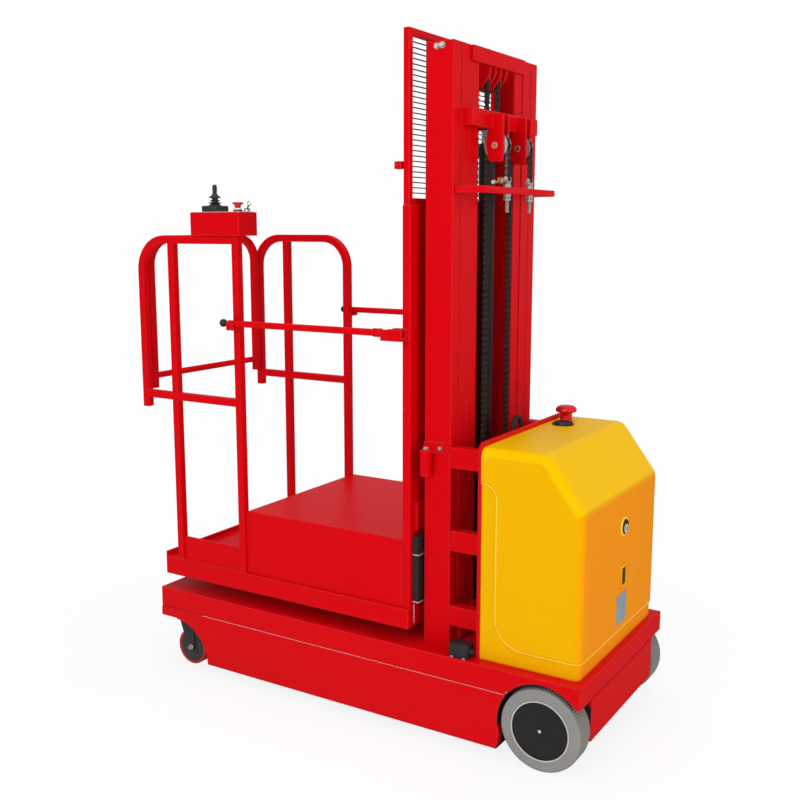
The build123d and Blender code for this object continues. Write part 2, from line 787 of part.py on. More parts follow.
# Lift cylinder on the chassis, and its rod under the crosshead
lift_x = back(cylinder_x)
with BuildPart() as lift_cylinder:
    with BuildSketch(Plane.XY.offset(chassis_top)):
        with Locations((lift_x, 0)):
            Circle(cylinder_radius)
            Circle(rod_radius + run_gap, mode=Mode.SUBTRACT)
    extrude(amount=cylinder_top - chassis_top)
    with BuildSketch(Plane.XY.offset(chassis_top)):
        with Locations((lift_x, 0)):
            Circle(cylinder_radius)
    extrude(amount=cylinder_foot)
finish(lift_cylinder, "lift_cylinder")

with BuildPart() as lift_rod:
    with BuildSketch(Plane.XY.offset(rod_foot)):
        with Locations((lift_x, 0)):
            Circle(rod_radius)
    extrude(amount=crosshead_low - rod_foot)
finish(lift_rod, "lift_rod")

# Power unit: bulkhead, its ties to the mast, battery and hollow cover
bulk_front = back(bulkhead_x)
bulk_rear = bulk_front - bulkhead_thick
with BuildPart() as bulkhead:
    with BuildSketch(Plane.YZ.offset(bulk_rear)):
        with Locations((0, (chassis_top + bulkhead_top) / 2)):
            Rectangle(2 * cover_half, bulkhead_top - chassis_top)
        fillet(vertices().group_by(Axis.Y)[-1], cover_round)
    extrude(amount=bulkhead_thick)
finish(bulkhead, "bulkhead")

with BuildPart() as tie_bars:
    for _, side in SIDES:
        for low in tie_heights:
            with BuildSketch(Plane.XY.offset(low)):
                with Locations(((rail_rear + bulk_front) / 2, side * (outer_face_y - tie_inset))):
                    Rectangle(rail_rear - bulk_front, tie_wide)
            extrude(amount=tie_high)
finish(tie_bars, "tie_bars")

cover_front = bulk_rear
cover_rear = cover_front - cover_length
with BuildPart() as power_cover:
    with BuildSketch(Plane.XZ.offset(-cover_half)):
        with BuildLine():
            Polyline(
                (cover_front, chassis_top), (cover_front, cover_top),
                (cover_front - cover_flat, cover_top), (cover_rear, cover_slant_z),
                (cover_rear, chassis_top), close=True,
            )
        make_face()
        fillet(vertices().group_by(Axis.X)[1], cover_bend)
        fillet(vertices().group_by(Axis.Y)[2], cover_bend)
    extrude(amount=2 * cover_half)
    side_edges = edges().filter_by(Plane.XZ, reverse=False).filter_by(
        lambda e: e.center().Z > chassis_top + 1 and e.center().X < cover_front - 1
    ).filter_by(lambda e: abs(abs(e.center().Y) - cover_half) < 0.01)
    fillet(side_edges, cover_round)
    offset(amount=-cover_wall, openings=faces().sort_by(Axis.Z)[0])
finish(power_cover, "power_cover")

with BuildPart() as battery_block:
    with BuildSketch(Plane.XY.offset(chassis_top)):
        with Locations((cover_front - cover_length / 2, 0)):
            Rectangle(battery_long, battery_wide)
    extrude(amount=battery_high)
finish(battery_block, "battery_block")

# Platform base: open tray with a raised front lip and toe boards
base_front = fore(platform_front)
base_rear = back(platform_rear)
base_x = (base_front + base_rear) / 2
base_length = base_front - base_rear
post_a = fore(guard_post_a)
post_b = fore(guard_post_b)
with BuildPart() as platform_base:
    with BuildSketch(Plane.XY.offset(platform_low)):
        with Locations((base_x, 0)):
            Rectangle(base_length, 2 * platform_half)
    extrude(amount=platform_floor - platform_low)
    with BuildSketch(Plane.XY.offset(platform_low)):
        with Locations((base_x, 0)):
            Rectangle(base_length - 2 * sheet, 2 * (platform_half - sheet))
    extrude(amount=platform_floor - platform_low - sheet, mode=Mode.SUBTRACT)
    with BuildSketch(Plane.XY.offset(platform_floor)):
        with Locations((base_front - lip_sheet / 2, 0)):
            Rectangle(lip_sheet, 2 * platform_half)
    extrude(amount=lip_top - platform_floor)
    board_y = platform_half - toe_inset
    board_length = post_a - post_b - guard_tube
    with BuildSketch(Plane.XY.offset(platform_floor)):
        for _, side in SIDES:
            with Locations(((post_a + post_b) / 2, side * (board_y - toe_sheet / 2))):
                Rectangle(board_length, toe_sheet)
    extrude(amount=toe_top - platform_floor)
finish(platform_base, "platform_base")

# Deck: hollow box that the operator stands on
deck_x = fore(deck_front)
deck_rear = back(platform_rear - back_tube)
with BuildPart() as deck_box:
    with BuildSketch(Plane.XY.offset(platform_floor)):
        with Locations(((deck_x + deck_rear) / 2, 0)):
            Rectangle(deck_x - deck_rear, 2 * deck_half)
    extrude(amount=deck_top - platform_floor)
    fillet(edges().group_by(Axis.Z)[-1], deck_round)
    offset(amount=-deck_sheet, openings=faces().sort_by(Axis.Z)[0])
finish(deck_box, "deck_box")

# Back frame of the platform: two posts, cross tubes and a closing sheet
post_y = deck_half - back_tube / 2
frame_x = base_rear + back_tube / 2
pivot_x = back(bar_pivot)
bracket_low = bar_z - bar_radius - 11
with BuildPart() as back_frame:
    with BuildSketch(Plane.XY.offset(platform_floor)):
        for _, side in SIDES:
            with Locations((frame_x, side * post_y)):
                RectangleRounded(back_tube, back_tube, 4)
        with Locations((base_rear + back_sheet / 2, 0)):
            Rectangle(back_sheet, 2 * post_y)
    extrude(amount=back_top - platform_floor)
    for low in (deck_top, back_cross_z, back_top - back_tube):
        with BuildSketch(Plane.XY.offset(low)):
            with Locations((frame_x, 0)):
                Rectangle(back_tube - 4, 2 * post_y)
        extrude(amount=back_tube)
    # open brackets with the pins that the side bars turn on
    for _, side in SIDES:
        for start, thick, high in (
            (deck_half, bar_y - bar_radius - 1 - deck_half, bar_z + 14),
            (bar_y + bar_radius + 1, 4, bar_z + 14),
            (bar_y - bar_radius - 1, 2 * bar_radius + 2, bar_z - bar_radius - run_gap),
        ):
            with BuildSketch(Plane.XZ.offset(-side * start)):
                with BuildLine():
                    Polyline(
                        (pivot_x - bracket_behind, bracket_low),
                        (pivot_x + bracket_ahead, bracket_low),
                        (pivot_x + bracket_ahead, min(high, bar_z)),
                        (pivot_x + bracket_slant, high),
                        (pivot_x - bracket_behind, high), close=True,
                    )
                make_face()
            extrude(amount=-side * thick)
        with BuildSketch(Plane.XZ.offset(-side * deck_half)):
            with Locations((pivot_x, bar_z)):
                Circle(bar_pin)
        extrude(amount=-side * (bar_y + bar_radius + 5 - deck_half))
finish(back_frame, "back_frame")

# Mesh guard over the back frame: frame of tube, and its level wires
mesh_x = frame_x
with BuildPart() as mesh_frame:
    with BuildSketch(Plane.YZ.offset(mesh_x - mesh_tube / 2)):
        with Locations((0, (back_top + mesh_top) / 2)):
            Rectangle(2 * deck_half, mesh_top - back_top)
            Rectangle(2 * (deck_half - mesh_tube), mesh_top - back_top - 2 * mesh_tube,
                      mode=Mode.SUBTRACT)
    extrude(amount=mesh_tube)
finish(mesh_frame, "mesh_frame")

wire_low = back_top + mesh_tube
wire_count = int((mesh_top - mesh_tube - wire_low - mesh_wire) / mesh_pitch)
with BuildPart() as mesh_wires:
    for index in range(1, wire_count + 1):
        with BuildSketch(Plane.XY.offset(wire_low + index * mesh_pitch - mesh_wire / 2)):
            with Locations((mesh_x, 0)):
                Rectangle(mesh_wire, 2 * (deck_half - mesh_tube))
        extrude(amount=mesh_wire)
    with BuildSketch(Plane.XY.offset(wire_low)):
        with GridLocations(1, 2 * (deck_half - mesh_tube) / 6, 1, 5):
            with Locations((mesh_x + mesh_wire, 0)):
                Rectangle(mesh_wire, mesh_wire)
    extrude(amount=mesh_top - mesh_tube - wire_low)
finish(mesh_wires, "mesh_wires")

# Side guards: bent tube with a front leg, two posts and a middle rail
rail_z = guard_top - guard_tube / 2
leg_x = fore(guard_leg)
guard_y = platform_half - guard_tube / 2
for name, side in SIDES:
    plane = Plane.XZ.offset(-side * guard_y)
    with BuildPart() as guard:
        rear_bend = 0.0 if side > 0 else guard_bend
        with BuildLine(plane) as path:
            Line((leg_x, guard_leg_low), (leg_x, rail_z - guard_bend))
            RadiusArc((leg_x, rail_z - guard_bend), (leg_x - guard_bend, rail_z), -guard_bend)
            Line((leg_x - guard_bend, rail_z), (post_b + rear_bend, rail_z))
            if rear_bend:
                RadiusArc((post_b + rear_bend, rail_z), (post_b, rail_z - rear_bend), -rear_bend)
                Line((post_b, rail_z - rear_bend), (post_b, platform_floor))
        with BuildSketch(Plane((leg_x, side * guard_y, guard_leg_low))):
            RectangleRounded(guard_tube, guard_tube, guard_round)
        sweep(path=path.wires()[0])
        stands = [(post_a, rail_z)]
        if not rear_bend:
            stands.append((post_b, guard_top))
        for stand_x, stand_top in stands:
            with BuildSketch(Plane.XY.offset(platform_floor)):
                with Locations((stand_x, side * guard_y)):
                    RectangleRounded(guard_tube, guard_tube, guard_round)
            extrude(amount=stand_top - platform_floor)
        with BuildSketch(Plane.YZ.offset(post_b)):
            with Locations((side * guard_y, guard_mid_z)):
                RectangleRounded(guard_tube - 1, guard_tube - 1, guard_round)
        extrude(amount=leg_x - post_b)
        # open cradle that the side bar drops into
        for start, thick, high in (
            (platform_half, bar_y + bar_radius + 5 - platform_half, bar_z - bar_radius - run_gap),
            (bar_y + bar_radius + 1, 4, bar_z + 6),
        ):
            with BuildSketch(Plane.XZ.offset(-side * start)):
                with Locations((post_b, (bracket_low + high) / 2)):
                    Rectangle(guard_tube, high - bracket_low)
            extrude(amount=-side * thick)
    finish(guard, f"guard_{name}")

# Front guard: bent tube between the front legs, with a round cross tube
front_y = guard_y - guard_tube - front_tube_gap
with BuildPart() as guard_front:
    with BuildLine(Plane.YZ.offset(leg_x)) as path:
        Line((front_y, front_leg_low), (front_y, rail_z - front_bend))
        RadiusArc((front_y, rail_z - front_bend), (front_y - front_bend, rail_z), -front_bend)
        Line((front_y - front_bend, rail_z), (-front_y + front_bend, rail_z))
        RadiusArc((-front_y + front_bend, rail_z), (-front_y, rail_z - front_bend), -front_bend)
        Line((-front_y, rail_z - front_bend), (-front_y, front_leg_low))
    with BuildSketch(Plane((leg_x, front_y, front_leg_low))):
        RectangleRounded(guard_tube, guard_tube, guard_round)
    sweep(path=path.wires()[0])
    with BuildSketch(Plane.XZ.offset(-front_y)):
        with Locations((leg_x, front_cross_z)):
            Circle(cross_tube)
    extrude(amount=2 * front_y)
    # spacers that bolt it to the legs of the side guards
    for _, side in SIDES:
        for spacer_z in spacer_heights:
            with BuildSketch(Plane.XZ.offset(-side * front_y)):
                with Locations((leg_x, spacer_z)):
                    Circle(spacer_radius)
            extrude(amount=-side * (guard_tube / 2 + front_tube_gap))
finish(guard_front, "guard_front")

# Carriage: cross plate on the back frame, side plates and rollers in the inner channels
carriage_rear = base_rear - carriage_thick
roller_rear = rail_rear + carriage_side_in
with BuildPart() as carriage:
    with BuildSketch(Plane.YZ.offset(carriage_rear)):
        with Locations((0, (carriage_low + carriage_high) / 2)):
            Rectangle(2 * carriage_half, carriage_high - carriage_low)
        with Locations((0, (carriage_arm_low + carriage_arm_high) / 2)):
            Rectangle(2 * (deck_half - carriage_arm_inset), carriage_arm_high - carriage_arm_low)
    extrude(amount=carriage_thick)
    for _, side in SIDES:
        with BuildSketch(Plane.XZ.offset(-side * carriage_side_y)):
            with BuildLine():
                Polyline(
                    (carriage_rear, carriage_low), (roller_rear, carriage_low + carriage_slant),
                    (roller_rear, carriage_high), (carriage_rear, carriage_high), close=True,
                )
            make_face()
        extrude(amount=-side * carriage_side_thick)
        stub_y = carriage_side_y + carriage_side_thick
        for height in carriage_rollers:
            with BuildSketch(Plane.XZ.offset(-side * stub_y)):
                with Locations((rail_x, height)):
                    Circle(roller_stub)
            extrude(amount=-side * (inner_in + carriage_roller_in - stub_y))
            with BuildSketch(Plane.XZ.offset(-side * (inner_in + carriage_roller_in))):
                with Locations((rail_x, height)):
                    Circle(carriage_roller)
            extrude(amount=-side * carriage_roller_wide)
    # lugs that the front runs of the upper chains lift the carriage by
    lug_rear = high_front_x - chain_deep / 2
    for _, side in SIDES:
        with BuildSketch(Plane.XY.offset(carriage_lug_z - carriage_lug_high)):
            with Locations(((carriage_rear + lug_rear) / 2, side * high_chain_y)):
                Rectangle(carriage_rear - lug_rear, chain_wide)
        extrude(amount=carriage_lug_high)
        with BuildSketch(Plane.XY.offset(carriage_lug_z)):
            with Locations((high_front_x, side * high_chain_y)):
                Circle(anchor_rod - 0.5)
        extrude(amount=anchor_rise)
finish(carriage, "carriage")

# Rubber pad behind the left post
with BuildPart() as rear_pad:
    with BuildSketch(Plane.XZ.offset(-pad_y)):
        with BuildLine():
            Polyline(
                (base_rear, pad_low + 16), (base_rear, pad_high), (base_rear - pad_deep, pad_high),
                (base_rear - pad_deep, pad_low), close=True,
            )
        make_face()
    extrude(amount=pad_wide)
finish(rear_pad, "rear_pad")

# Side bars with their ball knobs, hinged on the back posts
tip_x = fore(bar_tip)
for name, side in SIDES:
    with BuildPart() as bar:
        with BuildSketch(Plane.YZ.offset(pivot_x)):
            with Locations((side * bar_y, bar_z)):
                Circle(bar_radius)
        extrude(amount=tip_x - pivot_x)
        with BuildSketch(Plane.YZ.offset(pivot_x + collar_start)):
            with Locations((side * bar_y, bar_z)):
                Circle(bar_collar)
        extrude(amount=collar_end - collar_start)
        with BuildSketch(Plane.XZ.offset(-side * (bar_y - bar_radius))):
            with Locations((pivot_x, bar_z)):
                Circle(bar_radius)
        extrude(amount=-side * 2 * bar_radius)
        with BuildSketch(Plane.XZ.offset(-side * (bar_y - bar_radius))):
            with Locations((pivot_x, bar_z)):
                Circle(bar_pin + run_gap)
        extrude(amount=-side * 2 * bar_radius, mode=Mode.SUBTRACT)
        with BuildSketch(Plane.YZ.offset(tip_x)):
            with Locations((side * bar_y, bar_z)):
                Circle(bar_pin)
        extrude(amount=bar_neck)
    finish(bar, f"gate_bar_{name}")
    with BuildPart() as knob:
        with BuildSketch(Plane.XZ.offset(-side * bar_y)):
            with BuildLine():
                knob_x = tip_x + bar_neck
                Line((knob_x, bar_z), (knob_x + 2 * knob_radius, bar_z))
                ThreePointArc(
                    (knob_x + 2 * knob_radius, bar_z), (knob_x + knob_radius, bar_z + knob_radius),
                    (knob_x, bar_z),
                )
            make_face()
        revolve(axis=Axis((0, side * bar_y, bar_z), (1, 0, 0)))
    finish(knob, f"gate_knob_{name}")

# Control box on the left guard, with its stick, stop button and key switch
with BuildPart() as console:
    with BuildSketch(Plane.XY.offset(guard_top)):
        with Locations((console_x, console_y)):
            RectangleRounded(console_long, console_wide, 2)
    extrude(amount=console_high)
finish(console, "console")

panel_z = guard_top + console_high
with BuildPart() as joystick:
    with BuildSketch(Plane.XY.offset(panel_z)):
        with Locations((console_x + stick_ahead, console_y)):
            RectangleRounded(stick_base, stick_base, 8)
    extrude(amount=24)
    for low, high, radius_low, radius_high in (
        (24, 34, 26, 18), (34, 42, 22, 14), (42, 50, 19, 12), (50, 60, 16, 8), (60, 92, 7, 8),
    ):
        with BuildSketch(Plane.XY.offset(panel_z + low)):
            with Locations((console_x + stick_ahead, console_y)):
                Circle(radius_low)
        with BuildSketch(Plane.XY.offset(panel_z + high)):
            with Locations((console_x + stick_ahead, console_y)):
                Circle(radius_high)
        loft()
finish(joystick, "joystick")

with BuildPart() as console_stop:
    for low, high, radius in ((0, 8, 16), (8, 20, 11), (20, 32, 18)):
        with BuildSketch(Plane.XY.offset(panel_z + low)):
            with Locations((console_x - button_behind, console_y)):
                Circle(radius)
        extrude(amount=high - low)
    fillet(edges().group_by(Axis.Z)[-1], 5)
finish(console_stop, "console_stop")

with BuildPart() as key_switch:
    for low, high, radius in ((0, 8, 12), (8, 16, 9)):
        with BuildSketch(Plane.XY.offset(panel_z + low)):
            with Locations((console_x - key_behind, console_y - key_side)):
                Circle(radius)
        extrude(amount=high - low)
    with BuildSketch(Plane.XY.offset(panel_z + 16)):
        with Locations((console_x - key_behind, console_y - key_side)):
            Rectangle(14, 2.5)
    extrude(amount=22)
finish(key_switch, "key_switch")

# Fittings of the power unit: stop button, filler cap, charge socket and lock
with BuildPart() as cover_stop:
    for low, high, radius in ((0, 4, 24), (4, 30, 20), (30, 52, 34)):
        with BuildSketch(Plane.XY.offset(cover_top + low)):
            with Locations((cover_front - stop_back, stop_inset - cover_half)):
                Circle(radius)
        extrude(amount=high - low)
    fillet(edges().group_by(Axis.Z)[-1], 12)
finish(cover_stop, "cover_stop")

with BuildPart() as cover_cap:
    for low, high, radius in ((0, 4, 35), (4, 9, 30)):
        with BuildSketch(Plane.XY.offset(cover_top + low)):
            with Locations((cover_front - cap_back, cap_inset - cover_half)):
                Circle(radius)
        extrude(amount=high - low)
finish(cover_cap, "cover_cap")

with BuildPart() as charge_socket:
    with BuildSketch(Plane.YZ.offset(cover_rear)):
        with Locations((socket_y, socket_z)):
            Rectangle(socket_wide, socket_high)
    extrude(amount=-socket_proud)
    with BuildSketch(Plane.YZ.offset(cover_rear - socket_proud)):
        with Locations((socket_y, socket_z)):
            Rectangle(socket_wide - 2 * socket_rim, socket_high - 2 * socket_rim)
    extrude(amount=4, mode=Mode.SUBTRACT)
finish(charge_socket, "charge_socket")

with BuildPart() as cover_lock:
    for start, length, radius in ((0, 4, 30), (4, 6, 22)):
        with BuildSketch(Plane.YZ.offset(cover_rear - start)):
            with Locations((lock_y, lock_z)):
                Circle(radius)
        extrude(amount=-length)
finish(cover_lock, "cover_lock")

# Limit switch at the foot of the left rail
limit_x = back(limit_back)
limit_y = chassis_half - limit_inset
with BuildPart() as limit_switch:
    with BuildSketch(Plane.XY.offset(chassis_top)):
        with Locations((limit_x, limit_y)):
            RectangleRounded(limit_long, limit_wide, 4)
    extrude(amount=limit_wide)
    with BuildSketch(Plane.YZ.offset(limit_x - limit_long / 2)):
        with Locations((limit_y, chassis_top + limit_wide / 2)):
            Circle(limit_gland)
    extrude(amount=-limit_gland_long)
finish(limit_switch, "limit_switch")
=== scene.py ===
# %% [markdown]
# # Order picker truck, dressed for its picture
#
# The machine is a low chassis on two grey drive wheels, a three-section mast lifted by a
# cylinder and leaf chains, a guarded platform and a yellow power unit. Its sizes come from the
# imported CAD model. This notebook keeps that model as it is and adds what a CAD solid leaves
# out: finishes, rounded edges, chain links, tread, bolts, bellows, seams and small fittings.

import json
import math

import bmesh
import bpy
import numpy as np
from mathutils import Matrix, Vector


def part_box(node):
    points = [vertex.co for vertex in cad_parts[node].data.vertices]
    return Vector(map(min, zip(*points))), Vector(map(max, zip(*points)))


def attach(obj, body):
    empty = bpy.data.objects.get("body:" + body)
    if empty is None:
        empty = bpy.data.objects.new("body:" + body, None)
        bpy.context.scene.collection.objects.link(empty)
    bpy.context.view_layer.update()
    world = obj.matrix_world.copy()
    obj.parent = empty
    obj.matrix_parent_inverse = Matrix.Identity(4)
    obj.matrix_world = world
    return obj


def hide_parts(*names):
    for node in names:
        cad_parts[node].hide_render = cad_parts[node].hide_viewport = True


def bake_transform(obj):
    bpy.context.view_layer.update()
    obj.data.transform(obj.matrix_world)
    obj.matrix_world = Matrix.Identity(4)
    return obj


scene = bpy.context.scene
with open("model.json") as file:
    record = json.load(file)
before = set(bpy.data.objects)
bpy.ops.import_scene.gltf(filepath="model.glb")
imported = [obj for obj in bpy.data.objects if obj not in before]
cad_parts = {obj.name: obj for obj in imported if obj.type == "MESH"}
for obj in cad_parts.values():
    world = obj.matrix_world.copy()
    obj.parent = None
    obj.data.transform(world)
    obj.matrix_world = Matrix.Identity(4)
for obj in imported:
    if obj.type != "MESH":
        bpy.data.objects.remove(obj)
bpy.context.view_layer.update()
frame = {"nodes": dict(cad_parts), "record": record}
nodes = frame["nodes"]

# %% [markdown]
# ## Camera
#
# The photograph is taken from behind the machine's left rear corner, a little above the
# middle of the mast. The lens was worked out from the straight edges of the machine, so the
# camera needs no shift.

# %% Camera at the photograph's angle
CAMERA_PLACE = (-1.8104, 2.8778, 1.5352)
CAMERA_YAW = math.radians(-58.186)
CAMERA_PITCH = math.radians(-9.479)
CAMERA_LENS = 46.22

camera = bpy.data.objects.new("camera", bpy.data.cameras.new("camera"))
scene.collection.objects.link(camera)
camera.location = CAMERA_PLACE
camera.rotation_euler = (math.pi / 2 + CAMERA_PITCH, 0.0, CAMERA_YAW - math.pi / 2)
camera.data.lens = CAMERA_LENS
camera.data.sensor_width = 36.0
camera.data.clip_end = 100.0
scene.camera = camera
scene.view_settings.view_transform = "Standard"

# %% [markdown]
# ## Stage and light
#
# A catalogue picture on white: the floor and the world show white to the camera, while the
# lamps stay at a level at which a painted colour renders about as it is written. Three large
# soft lamps stand in for studio boxes. The one on the left side is the key, and the only one
# that shows in gloss.

# %% Helpers for shader nodes


def feed(tree, socket, term):
    """Gives a socket a value, or links another node's socket to it."""
    if isinstance(term, bpy.types.NodeSocket):
        tree.links.new(term, socket)
    else:
        socket.default_value = term


def add(tree, kind, *terms, **values):
    """A shader node. Each value goes to the node's property of that name, or else to its input of
    that name; the terms go to its inputs in their order."""
    node = tree.nodes.new("ShaderNode" + kind)
    for key, value in values.items():
        if hasattr(node, key):
            setattr(node, key, value)
        else:
            feed(tree, node.inputs[key.replace("_", " ")], value)
    for socket, term in zip(node.inputs, terms):
        feed(tree, socket, term)
    return node


# %% Floor, world and lamps
FLOOR_REACH = 14.0
FLOOR_TONE, FLOOR_TONE_MIRRORED = 0.97, 0.12
SHADOW_START, SHADOW_END, SHADOW_WHITE = 0.7, 2.6, 0.86     # m, m, share of white at its start
WORLD_TONE, WORLD_STRENGTH = (0.95, 0.97, 1.0, 1), 0.42


def white_to_camera(tree, shader, output, share=1.0):
    """Mixes a white emission into a shader, seen by camera rays only, and links it up."""
    camera_ray = add(tree, "LightPath").outputs["Is Camera Ray"]
    shown = add(tree, "Math", camera_ray, share, operation="MULTIPLY").outputs[0]
    white = add(tree, "Emission", Color=(1, 1, 1, 1), Strength=1.0).outputs[0]
    mix = add(tree, "MixShader", shown, shader.outputs[0], white)
    tree.links.new(mix.outputs[0], tree.nodes[output].inputs["Surface"])


def make_floor():
    """A floor that mirrored rays see dark, so that the upright faces keep their colour. It fades
    to white away from the machine, where its soft shadow ends."""
    reach = FLOOR_REACH
    mesh = bpy.data.meshes.new("floor")
    mesh.from_pydata([(-reach, -reach, 0), (reach, -reach, 0), (reach, reach, 0), (-reach, reach, 0)],
                     [], [(0, 1, 2, 3)])
    floor = bpy.data.objects.new("floor", mesh)
    scene.collection.objects.link(floor)
    material = bpy.data.materials.new("studio_floor")
    material.use_nodes = True
    tree = material.node_tree
    shader = tree.nodes["Principled BSDF"]
    mirrored = add(tree, "LightPath").outputs["Is Glossy Ray"]
    tone = add(tree, "MapRange", Value=mirrored, To_Min=FLOOR_TONE, To_Max=FLOOR_TONE_MIRRORED)
    for key, value in (("Base Color", tone.outputs["Result"]), ("Roughness", 0.9),
                       ("Specular IOR Level", 0.0)):
        feed(tree, shader.inputs[key], value)
    place = add(tree, "TexCoord").outputs["Object"]
    distance = add(tree, "VectorMath", place, operation="LENGTH").outputs["Value"]
    fade = add(tree, "MapRange", interpolation_type="SMOOTHSTEP", Value=distance, From_Min=SHADOW_START,
               From_Max=SHADOW_END, To_Min=SHADOW_WHITE, To_Max=1.0)
    white_to_camera(tree, shader, "Material Output", fade.outputs["Result"])
    mesh.materials.append(material)


def make_world():
    """A soft light from all round that the camera sees as plain white."""
    world = bpy.data.worlds.new("studio")
    scene.world = world
    world.use_nodes = True
    soft = world.node_tree.nodes["Background"]
    soft.inputs["Color"].default_value = WORLD_TONE
    soft.inputs["Strength"].default_value = WORLD_STRENGTH
    white_to_camera(world.node_tree, soft, "World Output")


def make_lamp(name, place, aim, size, watts, color=(1.0, 1.0, 1.0), in_gloss=False):
    """A rectangular soft lamp that looks at a point."""
    data = bpy.data.lights.new(name, "AREA")
    data.shape = "RECTANGLE"
    data.size, data.size_y = size
    data.energy, data.color = watts, color
    lamp = bpy.data.objects.new(name, data)
    scene.collection.objects.link(lamp)
    lamp.location = place
    lamp.rotation_euler = (Vector(aim) - Vector(place)).to_track_quat("-Z", "Y").to_euler()
    lamp.visible_glossy = in_gloss


make_floor()
make_world()
make_lamp("key_left", (-0.4, 5.2, 3.0), (0.0, 0.0, 1.0), (4.0, 3.2), 130, in_gloss=True)
make_lamp("fill_rear", (-5.0, 0.6, 2.4), (0.0, 0.0, 0.9), (3.6, 3.0), 87, (1.0, 0.84, 0.68))
make_lamp("top_box", (0.2, -0.4, 5.6), (0.0, 0.0, 0.9), (4.0, 4.0), 123)

# %% [markdown]
# ## Surface effects shared by the finishes
#
# Four effects come back in several materials, so each is one node group: the ripple and
# cloudiness of sprayed paint, the fine grain of moulded plastic and rubber, the drawn lines
# of bare metal, and the thin veil of dust that settles on what lies low.

# %% Node groups
SURFACE = {"Color": "Color", "Roughness": "Float", "Normal": "Vector"}


def new_group(name, outputs, **inputs):
    """An empty shader group. Outputs give a kind for each name; an input's kind follows from its
    value: a number, a colour of four or a vector of three."""
    group = bpy.data.node_groups.new(name, "ShaderNodeTree")
    for key, value in inputs.items():
        kind = "Float" if isinstance(value, float) else "Color" if len(value) == 4 else "Vector"
        socket = group.interface.new_socket(key.replace("_", " "), in_out="INPUT",
                                            socket_type="NodeSocket" + kind)
        socket.default_value = value
    for key, kind in outputs.items():
        group.interface.new_socket(key, in_out="OUTPUT", socket_type="NodeSocket" + kind)
    group.nodes.new("NodeGroupOutput").name = "out"
    source = group.nodes.new("NodeGroupInput").outputs
    return group, source, add(group, "TexCoord").outputs["Object"]


def deliver(group, **results):
    """Links a group's results to its outputs."""
    for key, result in results.items():
        group.links.new(result, group.nodes["out"].inputs[key])
    return group


def noise(tree, place, scale, detail):
    """The grey of a noise texture."""
    return add(tree, "TexNoise", Vector=place, Scale=scale, Detail=detail).outputs["Fac"]


def calculate(tree, operation, *terms, **values):
    """The result of a Math node."""
    return add(tree, "Math", *terms, operation=operation, **values).outputs[0]


def mixed(tree, share, first, second):
    """Two colours mixed."""
    node = add(tree, "Mix", data_type="RGBA", Factor=share)
    for socket, color in zip([s for s in node.inputs if s.type == "RGBA"], (first, second)):
        feed(tree, socket, color)
    return next(s for s in node.outputs if s.type == "RGBA")


def varied(group, source, cloud, low, high, fine, amount):
    """The group's colour, between low and high as one noise goes, and its roughness, raised by
    another noise."""
    spread = add(group, "MapRange", Value=cloud, To_Min=low, To_Max=high).outputs["Result"]
    toned = add(group, "HueSaturation", Color=source["Color"], Value=spread).outputs[0]
    return toned, calculate(group, "MULTIPLY_ADD", fine, amount, source["Roughness"])


def make_paint_group():
    """Sprayed paint: a soft ripple in the gloss, slow cloudy change of tone, fine roughness
    change. The normal bends over near an edge of folded sheet, and there the paint is mixed
    towards a paler tone, a painted highlight along the edge."""
    group, source, place = new_group(
        "sprayed_paint", SURFACE, Color=(0.6, 0, 0, 1), Tone=0.06, Roughness=0.3, Ripple=0.05,
        Ripple_Scale=220.0, Edge=0.002)
    low = calculate(group, "SUBTRACT", 1.0, source["Tone"])
    high = calculate(group, "ADD", 1.0, source["Tone"])
    toned, rough = varied(group, source, noise(group, place, 3.5, 4.0), low, high,
                          noise(group, place, 60.0, 3.0), 0.08)
    fold = add(group, "Bevel", Radius=source["Edge"], samples=4).outputs[0]
    bump = add(group, "Bump", Height=noise(group, place, source["Ripple Scale"], 2.0), Normal=fold,
               Strength=source["Ripple"], Distance=0.002)
    flat = add(group, "NewGeometry").outputs["Normal"]
    agree = add(group, "VectorMath", fold, flat, operation="DOT_PRODUCT").outputs["Value"]
    # painted highlight: paler paint where the bevel's normal leans away from the true one, along edges
    painted_edge_highlight = add(group, "MapRange", Value=agree, From_Min=0.97, From_Max=0.8, To_Min=0.0, To_Max=0.7)
    pale = add(group, "HueSaturation", Color=toned, Saturation=0.93, Value=1.25).outputs[0]
    return deliver(group, Color=mixed(group, painted_edge_highlight.outputs["Result"], toned, pale), Roughness=rough,
                   Normal=bump.outputs[0])


def make_dust_group():
    """Dust: more of it low down on the machine, broken up by noise."""
    group, source, place = new_group(
        "settled_dust", {"Color": "Color"}, Color=(0.5, 0.5, 0.5, 1), Amount=0.1,
        Dust_Color=(0.42, 0.39, 0.35, 1), Fade_Height=0.35)
    height = add(group, "SeparateXYZ", place).outputs["Z"]
    fade = add(group, "MapRange", Value=height, From_Max=source["Fade Height"], To_Min=1.0, To_Max=0.0)
    broken = calculate(group, "MULTIPLY", fade.outputs[0], noise(group, place, 18.0, 5.0))
    mask = calculate(group, "MULTIPLY", broken, source["Amount"], use_clamp=True)
    return deliver(group, Color=mixed(group, mask, source["Color"], source["Dust Color"]))


def make_grain_group():
    """Moulded grain: small cells pressed into plastic or rubber, with a matching roughness."""
    group, source, place = new_group(
        "moulded_grain", SURFACE, Color=(0.03, 0.03, 0.03, 1), Roughness=0.5, Grain=0.2, Grain_Scale=900.0)
    cells = add(group, "TexVoronoi", Vector=place, Scale=source["Grain Scale"]).outputs["Distance"]
    bump = add(group, "Bump", Height=cells, Strength=source["Grain"], Distance=0.0006)
    cloud = noise(group, place, 12.0, 4.0)
    toned, rough = varied(group, source, cloud, 0.85, 1.15, cloud, 0.14)
    return deliver(group, Color=toned, Roughness=rough, Normal=bump.outputs[0])


